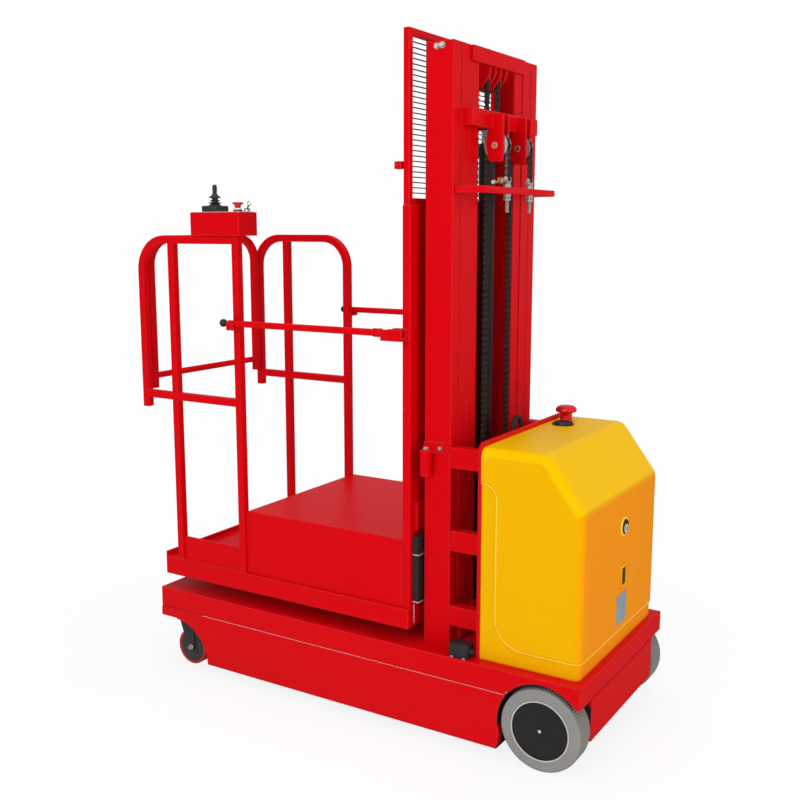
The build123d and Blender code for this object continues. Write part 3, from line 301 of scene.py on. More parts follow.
def make_metal_group():
    """Bare metal: fine drawn lines along one axis and a little stain in the roughness."""
    group, source, place = new_group(
        "drawn_metal", SURFACE, Color=(0.6, 0.6, 0.6, 1), Roughness=0.3, Lines=0.15,
        Stretch=(900.0, 900.0, 30.0))
    drawn = add(group, "Mapping", Vector=place, Scale=source["Stretch"]).outputs[0]
    bump = add(group, "Bump", Height=noise(group, drawn, 1.0, 2.0), Strength=source["Lines"],
               Distance=0.0004)
    stain = noise(group, place, 45.0, 5.0)
    toned, rough = varied(group, source, stain, 0.78, 1.12, stain, 0.22)
    return deliver(group, Color=toned, Roughness=rough, Normal=bump.outputs[0])


paint_group, dust_group = make_paint_group(), make_dust_group()
grain_group, metal_group = make_grain_group(), make_metal_group()
print("groups:", [g.name for g in bpy.data.node_groups])

# %% [markdown]
# ## Finishes
#
# Each slot of the record gets one finish. The red is a powder coat over welded steel with a
# faint ripple. The yellow is a moulded cover; its colour carries painted light and shade,
# more orange on the rear and paler where it faces up.
# Tyres are grey rubber, chains are dark with oil, and the small fittings are bright zinc,
# brass or black plastic. Some fittings have no slot of their own: the brass parts, the chain
# pins, the pale rims, the cream panel under the controls, the blank blue plate, the orange
# ring on each side bar, the white collar, the hose, the bellows, the bead and the dark seam.

# %% Materials
# direction and span of the painted light on the yellow cover
PAINTED_LIGHT_AIM, FACING_FROM, FACING_TO = (0.2, 0.2, 0.9), -0.2, 0.4
finishes = {}


def rgb(red, green, blue):
    """An sRGB colour from 0 to 255 as linear RGBA."""
    s = np.array([red, green, blue]) / 255.0
    linear = np.where(s <= 0.04045, s / 12.92, ((s + 0.055) / 1.055) ** 2.4)
    return (*linear.tolist(), 1.0)


def painted_light_by_facing(tree, stops):
    """Painted light: a colour that goes through its stops from faces turned back to faces turned up."""
    normal = add(tree, "NewGeometry").outputs["Normal"]
    facing = add(tree, "VectorMath", normal, PAINTED_LIGHT_AIM, operation="DOT_PRODUCT").outputs["Value"]
    span = add(tree, "MapRange", Value=facing, From_Min=FACING_FROM, From_Max=FACING_TO)
    ramp = add(tree, "ValToRGB", Fac=span.outputs["Result"])
    bands = ramp.color_ramp.elements
    while len(bands) < len(stops):
        bands.new(0.5)
    for band, (at, color) in zip(bands, stops):
        band.position, band.color = at, rgb(*color)
    return ramp.outputs["Color"]


def new_finish(name, group, color, roughness, metallic=0.0, specular=0.5, tint=(1.0, 1.0, 1.0), dust=0.0,
               fade=0.35, **values):
    """A Principled material whose colour, roughness and normal come from one effect group. Its
    colour is one sRGB colour, or stops for painted_light_by_facing."""
    material = bpy.data.materials.new(name)
    material.use_nodes = True
    tree = material.node_tree
    painted = painted_light_by_facing(tree, color) if isinstance(color, list) else rgb(*color)
    effect = add(tree, "Group", node_tree=group, Color=painted, Roughness=roughness, **values).outputs
    shown = effect["Color"]
    if dust:
        shown = add(tree, "Group", node_tree=dust_group, Color=shown, Amount=dust,
                    Fade_Height=fade).outputs["Color"]
    shader = tree.nodes["Principled BSDF"]
    for key, value in (("Base Color", shown), ("Roughness", effect["Roughness"]),
                       ("Normal", effect["Normal"]), ("Metallic", metallic),
                       ("Specular IOR Level", specular), ("Specular Tint", (*tint, 1.0))):
        feed(tree, shader.inputs[key], value)
    finishes[name] = material


new_finish("red_paint", paint_group, (214, 2, 14), 0.34, Tone=0.035, Ripple=0.05, Edge=0.006, specular=0.1,
           tint=(1.0, 0.3, 0.32), dust=0.02)
# the stops are painted light and shade: orange where the cover faces back, paler where it faces up
new_finish("power_yellow", paint_group,
           [(0.0, (243, 151, 2)), (0.6, (236, 173, 2)), (0.8, (241, 192, 1))], 0.34,
           Tone=0.03, Ripple=0.04, Ripple_Scale=300.0, specular=0.1, tint=(1.0, 0.8, 0.2))
for name, color, roughness, tone, ripple, specular, dust in (
    ("caster_black", (38, 38, 40), 0.36, 0.1, 0.08, 0.5, 0.15),
    ("cylinder_black", (26, 26, 28), 0.3, 0.1, 0.06, 0.5, 0.0),
    ("mesh_dark", (70, 20, 24), 0.4, 0.1, 0.05, 0.5, 0.0),
    # a paler yellow for the cover's step bead, where it is a painted highlight, and for the ring round the
    # lock
    ("line_yellow", (255, 214, 64), 0.28, 0.02, 0.02, 0.3, 0.0),
    ("seam_dark", (84, 0, 6), 0.5, 0.05, 0.02, 0.1, 0.0),
):
    new_finish(name, paint_group, color, roughness, specular=specular, dust=dust, Tone=tone, Ripple=ripple)
for name, color, roughness, grain, scale, specular, dust, fade in (
    ("tyre_rubber", (140, 140, 139), 0.62, 0.16, 700.0, 0.3, 0.25, 0.2),
    ("hub_black", (37, 37, 38), 0.5, 0.1, 1200.0, 0.22, 0.03, 0.35),
    ("caster_core", (34, 34, 36), 0.42, 0.1, 1000.0, 0.4, 0.2, 0.35),
    ("caster_tread", (190, 6, 16), 0.4, 0.08, 900.0, 0.4, 0.12, 0.15),
    ("black_plastic", (40, 42, 44), 0.42, 0.16, 1100.0, 0.45, 0.0, 0.0),
    ("battery_case", (46, 46, 48), 0.55, 0.2, 500.0, 0.4, 0.0, 0.0),
    ("stop_red", (212, 8, 20), 0.22, 0.03, 900.0, 0.5, 0.0, 0.0),
    ("pad_rubber", (38, 38, 40), 0.6, 0.25, 600.0, 0.35, 0.0, 0.0),
    ("panel_cream", (226, 218, 196), 0.4, 0.05, 800.0, 0.4, 0.0, 0.0),
    ("ring_orange", (224, 98, 22), 0.4, 0.08, 900.0, 0.45, 0.0, 0.0),
    ("collar_white", (232, 232, 226), 0.35, 0.04, 900.0, 0.45, 0.0, 0.0),
    ("hose_rubber", (30, 30, 32), 0.5, 0.15, 800.0, 0.4, 0.0, 0.0),
    ("bellows_rubber", (52, 54, 57), 0.55, 0.12, 900.0, 0.4, 0.0, 0.0),
):
    new_finish(name, grain_group, color, roughness, specular=specular, dust=dust, fade=fade, Grain=grain,
               Grain_Scale=scale)
LINES_ALONG = {"sheave_white": (500.0, 30.0, 500.0), "plate_blue": (40.0, 800.0, 800.0)}
for name, color, roughness, lines, metallic in (
    ("chain_steel", (88, 82, 79), 0.32, 0.1, 0.85),
    ("zinc_steel", (214, 214, 211), 0.24, 0.12, 0.72),
    ("sheave_white", (205, 203, 198), 0.26, 0.1, 0.9),
    ("rod_chrome", (232, 232, 234), 0.05, 0.02, 1.0),
    ("brass", (206, 150, 62), 0.28, 0.08, 1.0),
    ("plate_blue", (158, 182, 208), 0.36, 0.06, 0.25),
    ("pin_steel", (132, 126, 120), 0.3, 0.05, 0.9),
    ("rim_grey", (214, 214, 208), 0.34, 0.06, 0.25),
):
    new_finish(name, metal_group, color, roughness, metallic, Lines=lines,
               Stretch=LINES_ALONG.get(name, (900.0, 900.0, 30.0)))
print("finishes:", len(finishes))

# %% [markdown]
# ## The carried-over nodes
#
# Every CAD node takes the finish of its slot. Bent sheet and rolled rails have small outside
# radii that catch the light, which the solids leave sharp. A Weld and a Bevel modifier on the
# node add that radius without touching its mesh.

# %% Finishes and rounded edges on the CAD nodes
BEND_ANGLE = math.radians(38)       # edges sharper than this are rounded
slot_of = {row["node"]: row["material_slot"] for row in frame["record"]["subparts"]}
for node_name, node in nodes.items():
    for slot in node.material_slots:
        slot.material = finishes[slot_of[node_name]]

ROUNDED_NODES = {
    "chassis_frame": 2.0, "side_skirts": 0.8, "outer_mast": 1.6, "middle_rails": 1.4, "inner_rails": 1.4,
    "middle_crossheads": 1.2, "inner_crossheads": 1.2, "chain_shelf": 2.0, "bulkhead": 1.5, "tie_bars": 2.0,
    "platform_base": 1.5, "back_frame": 0.8, "mesh_frame": 1.5, "carriage": 1.0, "console": 1.2,
    "limit_switch": 1.5, "rear_pad": 3.0, "charge_socket": 0.8, "battery_block": 4.0,
}


def round_edges(node, width):
    """Merges the node's loose triangles at render time and rounds every sharp edge by width (mm)."""
    weld = node.modifiers.new("weld", "WELD")
    weld.merge_threshold = 0.00002
    bevel = node.modifiers.new("round", "BEVEL")
    bevel.width, bevel.segments = width / 1000, 2
    bevel.limit_method = "ANGLE"
    bevel.angle_limit = BEND_ANGLE
    bevel.use_clamp_overlap = True
    bevel.harden_normals = False


for node_name, width in ROUNDED_NODES.items():
    round_edges(nodes[node_name], width)
print("rounded:", len(ROUNDED_NODES))

# %% [markdown]
# ## Shapes as arrays
#
# Every new piece is a grid of points worked out with numpy and joined into a mesh. A few
# small functions are enough for a machine like this: a profile turned round an axis, a
# section carried along a path, an outline given a thickness, and a box with rounded edges.
# They work in millimetres in the machine's frame, and `make_piece` scales to metres.

# %% Helpers for shapes and pieces
MID_X = -36.75     # middle of the chassis, mm
UP, DOWN, REARWARD = (0, 0, 1), (0, 0, -1), (-1, 0, 0)
SIDES = (("left", 1), ("right", -1))


def back(distance):
    """X of a point so far behind the chassis middle, mm."""
    return MID_X - distance


def fore(distance):
    """X of a point so far ahead of the chassis middle, mm."""
    return MID_X + distance


def grid_faces(rows, columns, close_rows=False, close_columns=False):
    """Quads between neighbouring points of a rows by columns grid."""
    i = np.arange(rows if close_rows else rows - 1)
    j = np.arange(columns if close_columns else columns - 1)
    ii, jj = np.meshgrid(i, j, indexing="ij")
    ni, nj = (ii + 1) % rows, (jj + 1) % columns
    quads = np.stack([ii * columns + jj, ni * columns + jj, ni * columns + nj, ii * columns + nj], -1)
    return quads.reshape(-1, 4).tolist()


def axis_frame(axis):
    """Three unit vectors: the axis, and two at right angles to it."""
    a = np.array(axis, float)
    a /= np.linalg.norm(a)
    helper = np.array([0.0, 0.0, 1.0]) if abs(a[2]) < 0.9 else np.array([1.0, 0.0, 0.0])
    u = np.cross(helper, a)
    u /= np.linalg.norm(u)
    return a, u, np.cross(a, u)


def turned(profile, centre, axis, steps=32, phase=0.0):
    """A lathe shape: centre + along * axis + radius * (cos t, sin t) for each (radius, along)."""
    a, u, v = axis_frame(axis)
    profile = np.array(profile, float)
    t = np.linspace(0, 2 * np.pi, steps, endpoint=False) + phase
    spokes = np.cos(t)[:, None] * u + np.sin(t)[:, None] * v
    points = np.array(centre, float) + profile[:, 1, None, None] * a + profile[:, 0, None, None] * spokes
    return points.reshape(-1, 3), grid_faces(len(profile), steps, close_columns=True)


def plate(outline, plane, start, depth):
    """A flat outline given a thickness: the outline at start and at start + depth, with both faces.
    plane is the pair of axes the outline is drawn in, such as "xz"; the third axis carries it."""
    first, second = ("xyz".index(k) for k in plane)
    third = 3 - first - second
    outline = np.array(outline, float)
    count = len(outline)
    points = np.zeros((2, count, 3))
    points[:, :, first] = outline[:, 0]
    points[:, :, second] = outline[:, 1]
    points[0, :, third], points[1, :, third] = start, start + depth
    faces = grid_faces(2, count, close_columns=True)
    faces += [list(range(count)), list(range(count, 2 * count))]
    return points.reshape(-1, 3), faces


def arc(centre, radius, start, end, steps):
    """Points of a circular arc in a plane, angles in degrees."""
    t = np.radians(np.linspace(start, end, steps))
    return np.stack([centre[0] + radius * np.cos(t), centre[1] + radius * np.sin(t)], -1)


def carried(path, section, closed=False, up=(0, 0, 1)):
    """A section (closed 2-D loop) carried along a path: point = path + a * side + b * top, where
    side and top stand square to the path's direction. Open ends get a face each."""
    path, section = np.array(path, float), np.array(section, float)
    ahead = np.roll(path, -1, 0) - np.roll(path, 1, 0)
    if not closed:
        ahead[0], ahead[-1] = path[1] - path[0], path[-1] - path[-2]
    ahead /= np.linalg.norm(ahead, axis=1)[:, None]
    side = np.cross(ahead, np.array(up, float))
    side /= np.linalg.norm(side, axis=1)[:, None]
    top = np.cross(side, ahead)
    points = path[:, None] + section[:, 0, None] * side[:, None] + section[:, 1, None] * top[:, None]
    rows, columns = len(path), len(section)
    faces = grid_faces(rows, columns, close_rows=closed, close_columns=True)
    if not closed:
        faces += [list(range(columns)), list(range((rows - 1) * columns, rows * columns))]
    return points.reshape(-1, 3), faces


def circle(radius, steps=10):
    """A round section."""
    return arc((0, 0), radius, 0, 360 * (1 - 1 / steps), steps)


def flat_section(half_thick, half_wide):
    """A rectangular section."""
    return [(-half_thick, -half_wide), (half_thick, -half_wide), (half_thick, half_wide),
            (-half_thick, half_wide)]


def soft_box(centre, size, radius, steps=4):
    """A box with rounded edges: a small sphere of the radius pulled apart to the box's corners."""
    quarter = np.linspace(0, np.pi / 2, steps)
    azimuth = np.concatenate([quarter + k * np.pi / 2 for k in range(4)])
    rise = np.concatenate([quarter - np.pi / 2, quarter])
    az, el = np.meshgrid(azimuth, rise, indexing="ij")
    normal = np.stack([np.cos(el) * np.cos(az), np.cos(el) * np.sin(az), np.sin(el)], -1)
    corner = np.repeat(np.arange(4), steps)
    sign_x = np.array([1, -1, -1, 1])[corner][:, None]
    sign_y = np.array([1, 1, -1, -1])[corner][:, None]
    sign_z = np.repeat([-1, 1], steps)[None, :]
    reach = np.array(size, float) / 2 - radius
    signs = np.stack([sign_x + 0 * el, sign_y + 0 * el, sign_z + 0 * el], -1)
    points = np.array(centre, float) + signs * reach + normal * radius
    rows, columns = points.shape[:2]
    faces = grid_faces(rows, columns, close_rows=True)
    faces += [[k * columns for k in range(rows)], [k * columns + columns - 1 for k in range(rows)]]
    return points.reshape(-1, 3), faces


def hex_head(centre, axis, across, height):
    """A bolt head or nut: a six-sided lathe shape with its corners broken at the top."""
    r = across / math.sqrt(3)
    return turned([(0, 0), (r, 0), (r, height * 0.8), (r * 0.86, height), (0, height)], centre, axis, 6)


def ring(centre, axis, inner, outer, start, end, steps=32, edge=0.5):
    """A flat washer or collar as a closed lathe shape with slightly broken edges."""
    profile = [(inner, start), (outer - edge, start), (outer, start + edge), (outer, end - edge),
               (outer - edge, end), (inner, end), (inner, start)]
    return turned(profile, centre, axis, steps)


def joined(parts):
    """Several shapes as one list of points and faces."""
    points, faces, count = [], [], 0
    for part_points, part_faces in parts:
        points.append(part_points)
        faces += [[index + count for index in face] for face in part_faces]
        count += len(part_points)
    return np.concatenate(points), faces


def make_piece(name, parts, finish, body, slot=None, stands_for=(), smooth=40.0):
    """Makes a mesh object from shapes in mm, merges poles and seams, turns faces outwards,
    smooths below an angle, gives it its finish and lets it ride on its body."""
    points, faces = joined(parts)
    mesh = bpy.data.meshes.new(name)
    mesh.from_pydata((points / 1000.0).tolist(), [], faces)
    shape = bmesh.new()
    shape.from_mesh(mesh)
    bmesh.ops.remove_doubles(shape, verts=shape.verts, dist=2e-6)
    bmesh.ops.dissolve_degenerate(shape, edges=shape.edges, dist=1e-7)
    bmesh.ops.recalc_face_normals(shape, faces=shape.faces)
    shape.to_mesh(mesh)
    shape.free()
    mesh.polygons.foreach_set("use_smooth", [True] * len(mesh.polygons))
    mesh.set_sharp_from_angle(angle=math.radians(smooth))
    mesh.materials.append(finishes[finish])
    piece = bpy.data.objects.new(name, mesh)
    scene.collection.objects.link(piece)
    if body:
        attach(piece, body)
    if stands_for:
        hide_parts(*stands_for)
    return piece


def lathe(name, profile, centre, axis, steps, finish, body, slot=None, **more):
    """A piece made of one lathe shape."""
    return make_piece(name, [turned(profile, centre, axis, steps)], finish, body, slot, **more)

# %% [markdown]
# ## Power cover
#
# The yellow cover is one moulding: flat top, slanted back, softly rounded shoulders, and a
# low step that runs up the front of each side, turns in a wide arc along the foot and goes
# round the back. A CAD solid shows the form, but the step is only 2.5 mm deep. The cover is
# rebuilt here as two side fields and one band between them. Each point is moved in along its
# own normal where it lies outside the step line, so the line is one continuous edge.

# %% Power cover
COVER_FRONT, COVER_REAR = back(458), back(774)
COVER_HALF, COVER_TOP, COVER_LOW = 315.0, 917.0, 278.0
COVER_FLAT_END, COVER_SLANT_Z = back(658), 761.0
SHOULDER, COVER_BEND = 26.0, 40.0
COVER_LONG = 320.0        # spaces the columns of points
STEP_DEEP, STEP_WIDE = 4.0, 5.0
STEP_X, STEP_Z, STEP_TOP = back(508), 328.0, 812.0
FOOT_ARC, FRONT_ARC = 92.0, 42.0          # radii of the step line
WALL = 3.5
BEAD, BEAD_SUNK = 2.1, 1.4                # radius of the bright edge, and how far its middle lies in


def filleted(corners, radii, steps=9):
    """An open polyline with each inner corner replaced by an arc of its radius."""
    corners = [np.array(c, float) for c in corners]
    line = [corners[0][None]]
    for before, corner, after, radius in zip(corners, corners[1:], corners[2:], radii):
        u, v = before - corner, after - corner
        u, v = u / np.linalg.norm(u), v / np.linalg.norm(v)
        half = math.acos(float(np.clip(u @ v, -1, 1))) / 2
        reach = radius / math.tan(half)
        centre = corner + (u + v) / np.linalg.norm(u + v) * radius / math.sin(half)
        t = np.linspace(0, 1, steps)[:, None]
        start, end = corner + u * reach - centre, corner + v * reach - centre
        blend = start * (1 - t) + end * t
        line.append(centre + blend / np.linalg.norm(blend, axis=1)[:, None] * radius)
    line.append(corners[-1][None])
    return np.concatenate(line)


def cover_outline():
    """Side view of the cover in (x, z): along the top to the rear and down, with both bends."""
    return filleted([(COVER_FRONT, COVER_TOP), (COVER_FLAT_END, COVER_TOP), (COVER_REAR, COVER_SLANT_Z),
                     (COVER_REAR, COVER_LOW)], [COVER_BEND, COVER_BEND])


def step_inside(x, z):
    """1 on the raised panel, 0 on the lower border, with a short ramp between, from a distance
    field: a quarter plane with a wide round corner, joined to the zone above the front arc."""
    qx, qz = x - (STEP_X - FOOT_ARC), (STEP_Z + FOOT_ARC) - z
    quarter = np.hypot(np.maximum(qx, 0), np.maximum(qz, 0)) + np.minimum(np.maximum(qx, qz), 0) - FOOT_ARC
    above = STEP_TOP - z
    cut = np.hypot(np.maximum(FRONT_ARC - quarter, 0), np.maximum(FRONT_ARC - above, 0))
    distance = np.maximum(FRONT_ARC, np.minimum(quarter, above)) - cut
    t = np.clip(0.5 - distance / STEP_WIDE, 0, 1)
    return t * t * (3 - 2 * t)


def cover_side(side):
    """Side face as a height field over (x, z): y falls away in a quarter circle near the outline."""
    outline = cover_outline()
    dense = np.concatenate([np.linspace(a, b, max(2, int(np.linalg.norm(b - a) / 6)), endpoint=False)
                            for a, b in zip(outline, outline[1:])] + [outline[-1:]])
    drop = SHOULDER * (1 - np.cos(np.linspace(0, np.pi / 2, 9)))[::-1]
    z_rows = np.concatenate([np.linspace(COVER_LOW, COVER_TOP - SHOULDER, 150)[:-1], COVER_TOP - drop])
    share = np.concatenate([np.linspace(0, 1 - SHOULDER / COVER_LONG, 76)[:-1], 1 - drop / COVER_LONG])
    rear_line = outline[::-1]
    rear_x = np.interp(z_rows, rear_line[:, 1], rear_line[:, 0])
    rear_x[-1] = outline[1, 0]
    x = COVER_FRONT + (rear_x[:, None] - COVER_FRONT) * share[None, :]
    z = z_rows[:, None] + 0 * x
    flat = np.stack([x.ravel(), z.ravel()], -1)
    a, b = dense[:-1], dense[1:]
    span = b - a
    t = np.clip(((flat[:, None] - a) * span).sum(-1) / (span ** 2).sum(-1), 0, 1)
    gap = np.linalg.norm(flat[:, None] - (a + t[..., None] * span), axis=-1)
    near = gap.argmin(1)
    d = np.minimum(gap[np.arange(len(flat)), near], SHOULDER)
    lean = (SHOULDER - d) / SHOULDER
    upright = np.sqrt(np.clip(1 - lean ** 2, 0, 1))
    y = COVER_HALF - SHOULDER * (1 - upright)
    outward = np.stack([span[:, 1], -span[:, 0]], -1) / np.linalg.norm(span, axis=1)[:, None]
    normal = np.stack([outward[near, 0] * lean, upright, outward[near, 1] * lean], -1)
    points = np.stack([flat[:, 0], y, flat[:, 1]], -1)
    points -= normal * (STEP_DEEP * (1 - step_inside(flat[:, 0], flat[:, 1])))[:, None]
    points[:, 1] *= side
    return points.reshape(len(z_rows), len(share), 3)


def cover_shape():
    """Both side fields, and the band over top, slant and rear between their outer edges."""
    left, right = cover_side(1), cover_side(-1)
    rim_left = np.concatenate([left[-1, :], left[-2::-1, -1]])
    rim_right = np.concatenate([right[-1, :], right[-2::-1, -1]])
    t = np.linspace(0, 1, 25)[:, None, None]
    band = rim_left[None] * (1 - t) + rim_right[None] * t
    return [(points.reshape(-1, 3), grid_faces(*points.shape[:2])) for points in (left, right, band)]


cover = make_piece("cover_moulding", cover_shape(), "power_yellow", "chassis",
                   stands_for=("power_cover",), smooth=60)
wall = cover.modifiers.new("wall", "SOLIDIFY")
wall.thickness = WALL / 1000
wall.offset = -1.0


def cover_line():
    """The edge of the step as a thin bead in a paler yellow, a painted highlight: in at the front,
    down in two arcs, along the foot and round the rear, with the same corner rounding as the cover."""
    left = [[COVER_FRONT - 1.0, STEP_TOP]]
    left += arc((STEP_X + FRONT_ARC, STEP_TOP - FRONT_ARC), FRONT_ARC, 90, 180, 12).tolist()
    left += arc((STEP_X - FOOT_ARC, STEP_Z + FOOT_ARC), FOOT_ARC, 0, -90, 18).tolist()
    left = np.array(left + [[STEP_X - 150.0, STEP_Z], [COVER_REAR + SHOULDER, STEP_Z]])
    side_run = np.stack([left[:, 0], np.full(len(left), COVER_HALF - BEAD_SUNK), left[:, 1]], -1)
    bend = arc((COVER_REAR + SHOULDER, COVER_HALF - SHOULDER), SHOULDER - BEAD_SUNK, 90, 180, 9)[1:]
    turn = np.stack([bend[:, 0], bend[:, 1], np.full(len(bend), STEP_Z)], -1)
    half = np.concatenate([side_run, turn])
    path = np.concatenate([half, half[::-1] * (1, -1, 1)])
    return [carried(path, circle(BEAD, 8), up=(0.35, 0.05, 0.93))]


# the bead's paler yellow is a painted highlight along the step's edge
make_piece("cover_line", cover_line(), "line_yellow", "chassis", "power_yellow", smooth=60)
print("cover faces:", len(cover.data.polygons))

# %% [markdown]
# ## Leaf chains
#
# A leaf chain is a stack of flat links laced in turn: four links on one pitch, three between
# them on the next, with a pin through every joint. Each link is the outline of a figure
# eight. The straight runs lie between two sections of the mast and ride on neither; the half
# turns ride with their chain wheels.

# %% Links, pins and the four chains
PITCH = 19.05
LINK_HIGH, LINK_THICK, LINK_LANES, LANE_STEP = 12.4, 2.2, 7, 2.75
PIN_HALF, PIN_RADIUS = 10.6, 2.9


def link_outline():
    """Figure-eight outline of one link: two round ends joined by a shallow waist, 16 points."""
    r = LINK_HIGH / 2
    right = arc((PITCH / 2, 0), r, -65, 65, 6)
    left = arc((-PITCH / 2, 0), r, 115, 245, 6)
    return np.concatenate([right, [[0, r * 0.5]], left, [[0, -r * 0.5]]])


def links_along(points, middle_y, start_odd=False):
    """Links along a line of joints in the (x, z) plane. Each link joins two joints; every second
    pitch has four links and the others have three."""
    outline = link_outline()
    parts = []
    for index, (a, b) in enumerate(zip(points, points[1:])):
        ahead = (b - a) / np.linalg.norm(b - a)
        across = np.array([-ahead[1], ahead[0]])
        odd = (index % 2 == 1) != start_odd
        lanes = range(1, LINK_LANES, 2) if odd else range(0, LINK_LANES, 2)
        flat = (a + b) / 2 + outline[:, :1] * ahead + outline[:, 1:] * across
        for lane in lanes:
            y = middle_y + (lane - (LINK_LANES - 1) / 2) * LANE_STEP
            parts.append(plate(flat, "xz", y - LINK_THICK / 2, LINK_THICK))
    return parts


def pins_at(points, middle_y):
    """A pin with flat heads across the chain at every joint."""
    profile = [(0, -PIN_HALF), (PIN_RADIUS, -PIN_HALF), (PIN_RADIUS, PIN_HALF), (0, PIN_HALF)]
    return [turned(profile, (x, middle_y, z), (0, 1, 0), 8) for x, z in points]


def straight_joints(x, low, high):
    """Joints a whole number of pitches apart between two heights, stretched a little to fit."""
    count = max(2, int(round((high - low) / PITCH)) + 1)
    z = np.linspace(low, high, count)
    return np.stack([np.full(count, x), z], -1)


def turn_joints(centre, radius):
    """Joints round the upper half of a chain wheel."""
    count = max(3, int(round(math.pi * radius / PITCH)) + 1)
    return arc(centre, radius, 0, 180, count)


def chain_pieces(name, joints, pinned, y, body=None, start_odd=False):
    """Links and pins of both sides' chains, in place of the node of that name."""
    links, pins = [], []
    for _, side in SIDES:
        links += links_along(joints, side * y, start_odd)
        pins += pins_at(pinned, side * y)
    return (make_piece(name + "_links", links, "chain_steel", body, stands_for=(name,), smooth=30),
            make_piece(name + "_pins", pins, "pin_steel", body, "chain_steel", smooth=30))


# axle and pitch radius of the chain wheels, mm
LOW_X, LOW_Z, LOW_Y, LOW_R = back(376), 1776.0, 78.0, 34.0
HIGH_X, HIGH_Z, HIGH_Y, HIGH_R = back(281), 1985.0, 35.0, 36.0
for name, joint_x, y, low_body, high_body in (
    ("chain_low_rear", LOW_X - LOW_R, LOW_Y, "chassis", "middle_mast"),
    ("chain_low_front", LOW_X + LOW_R, LOW_Y, "inner_mast", "middle_mast"),
    ("chain_high_rear", HIGH_X - HIGH_R, HIGH_Y, "middle_mast", "inner_mast"),
    ("chain_high_front", HIGH_X + HIGH_R, HIGH_Y, "platform", "inner_mast"),
):
    low, high = (corner[2] * 1000 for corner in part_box(name))
    joints = straight_joints(joint_x, low, high)
    for piece in chain_pieces(name, joints, joints, y):
        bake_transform(piece)

for name, centre, y, radius, body in (
    ("chain_turn_low", (LOW_X, LOW_Z), LOW_Y, LOW_R, "middle_mast"),
    ("chain_turn_high", (HIGH_X, HIGH_Z), HIGH_Y, HIGH_R, "inner_mast"),
):
    joints = turn_joints(centre, radius)
    chain_pieces(name, joints, joints[1:-1], y, body, start_odd=True)

# %% [markdown]
# ## Drive tyres and hubs
#
# The tyre is one surface of revolution whose outer band is cut by fine ribs across the tread.
# The ribs come in three bands, split by two narrow grooves, and end in the toothed edge that
# shows against the dark wheel arch.

# %% Ribbed tyres
AXLE_X, AXLE_Z, WHEEL_FACE = back(675), 125.0, 355.6
RIBS, STEPS_PER_RIB, RIB_DEEP, RIBBED_FROM = 96, 4, 3.4, 123.0
# (radius, distance in from the wheel's face), from the outer edge at the hub to the inner one
TYRE_PROFILE = np.array([
    (89.0, 1.5), (89.0, 0.6), (90.5, 0.0), (93.0, 0.0), (94.0, 1.2), (97.0, 1.4), (112.0, 1.4), (118.5, 2.2),
    (122.0, 4.6), (123.6, 7.6), (124.6, 8.0), (125.0, 10.0), (125.0, 27.0), (122.8, 28.2), (122.8, 29.8),
    (125.0, 31.0), (125.0, 49.0), (122.8, 50.2), (122.8, 51.8), (125.0, 53.0), (125.0, 70.0), (124.6, 72.0),
    (123.6, 72.4), (122.0, 75.4), (118.5, 77.8), (112.0, 78.6), (94.0, 78.8), (93.0, 80.0), (90.5, 80.0),
    (89.0, 79.4), (89.0, 78.5)])


def tyre_shape(side):
    """radius(t, s) = profile(s) - depth * rib(t) * band(s): t runs round the wheel, s across it."""
    across, inward = TYRE_PROFILE[:, 0, None], TYRE_PROFILE[:, 1, None]
    steps = RIBS * STEPS_PER_RIB
    t = np.arange(steps) * 2 * np.pi / steps
    groove = np.arange(steps) % STEPS_PER_RIB >= STEPS_PER_RIB / 2
    radius = across - RIB_DEEP * groove * (across > RIBBED_FROM)
    y = side * (WHEEL_FACE - inward) + 0 * t
    points = np.stack([AXLE_X + radius * np.cos(t), y, AXLE_Z + radius * np.sin(t)], -1)
    return [(points.reshape(-1, 3), grid_faces(len(TYRE_PROFILE), steps, close_columns=True))]


for name, side in SIDES:
    wheel, face, axis = "drive_wheel_" + name, (AXLE_X, side * WHEEL_FACE, AXLE_Z), (0, side, 0)
    make_piece("ribbed_tyre_" + name, tyre_shape(side), "tyre_rubber", wheel, stands_for=("tyre_" + name,),
               smooth=32)
    lathe("rim_ring_" + name, [(85.4, -2.6), (86.0, 0.6), (88.0, 1.4), (90.0, 1.0), (90.4, -1.2)], face,
          axis, 72, "rim_grey", wheel, "hub_black")
    lathe("axle_cap_" + name, [(0, 2.4), (2.6, 2.0), (4.8, 0.6), (6.0, -1.4), (6.4, -3.2)], face, axis, 24,
          "rim_grey", wheel, "zinc_steel")

# %% [markdown]
# ## Controls
#
# The stick stands on a square block with rounded edges and a rubber bellows of three flared
# rings. Beside it are the red stop button with its white collar and the key switch, whose
# key leans back. A thin cream plate lies under all three.

# %% Stick, stop button, key switch and their plate
DESK_X, DESK_Y, DESK_Z = 473.25, 290.0, 1587.0
STICK = (DESK_X + 34.0, DESK_Y, DESK_Z)
BUTTON = (DESK_X - 66.0, DESK_Y + 4.0, DESK_Z)
KEY = (DESK_X - 80.0, DESK_Y - 25.0, DESK_Z)

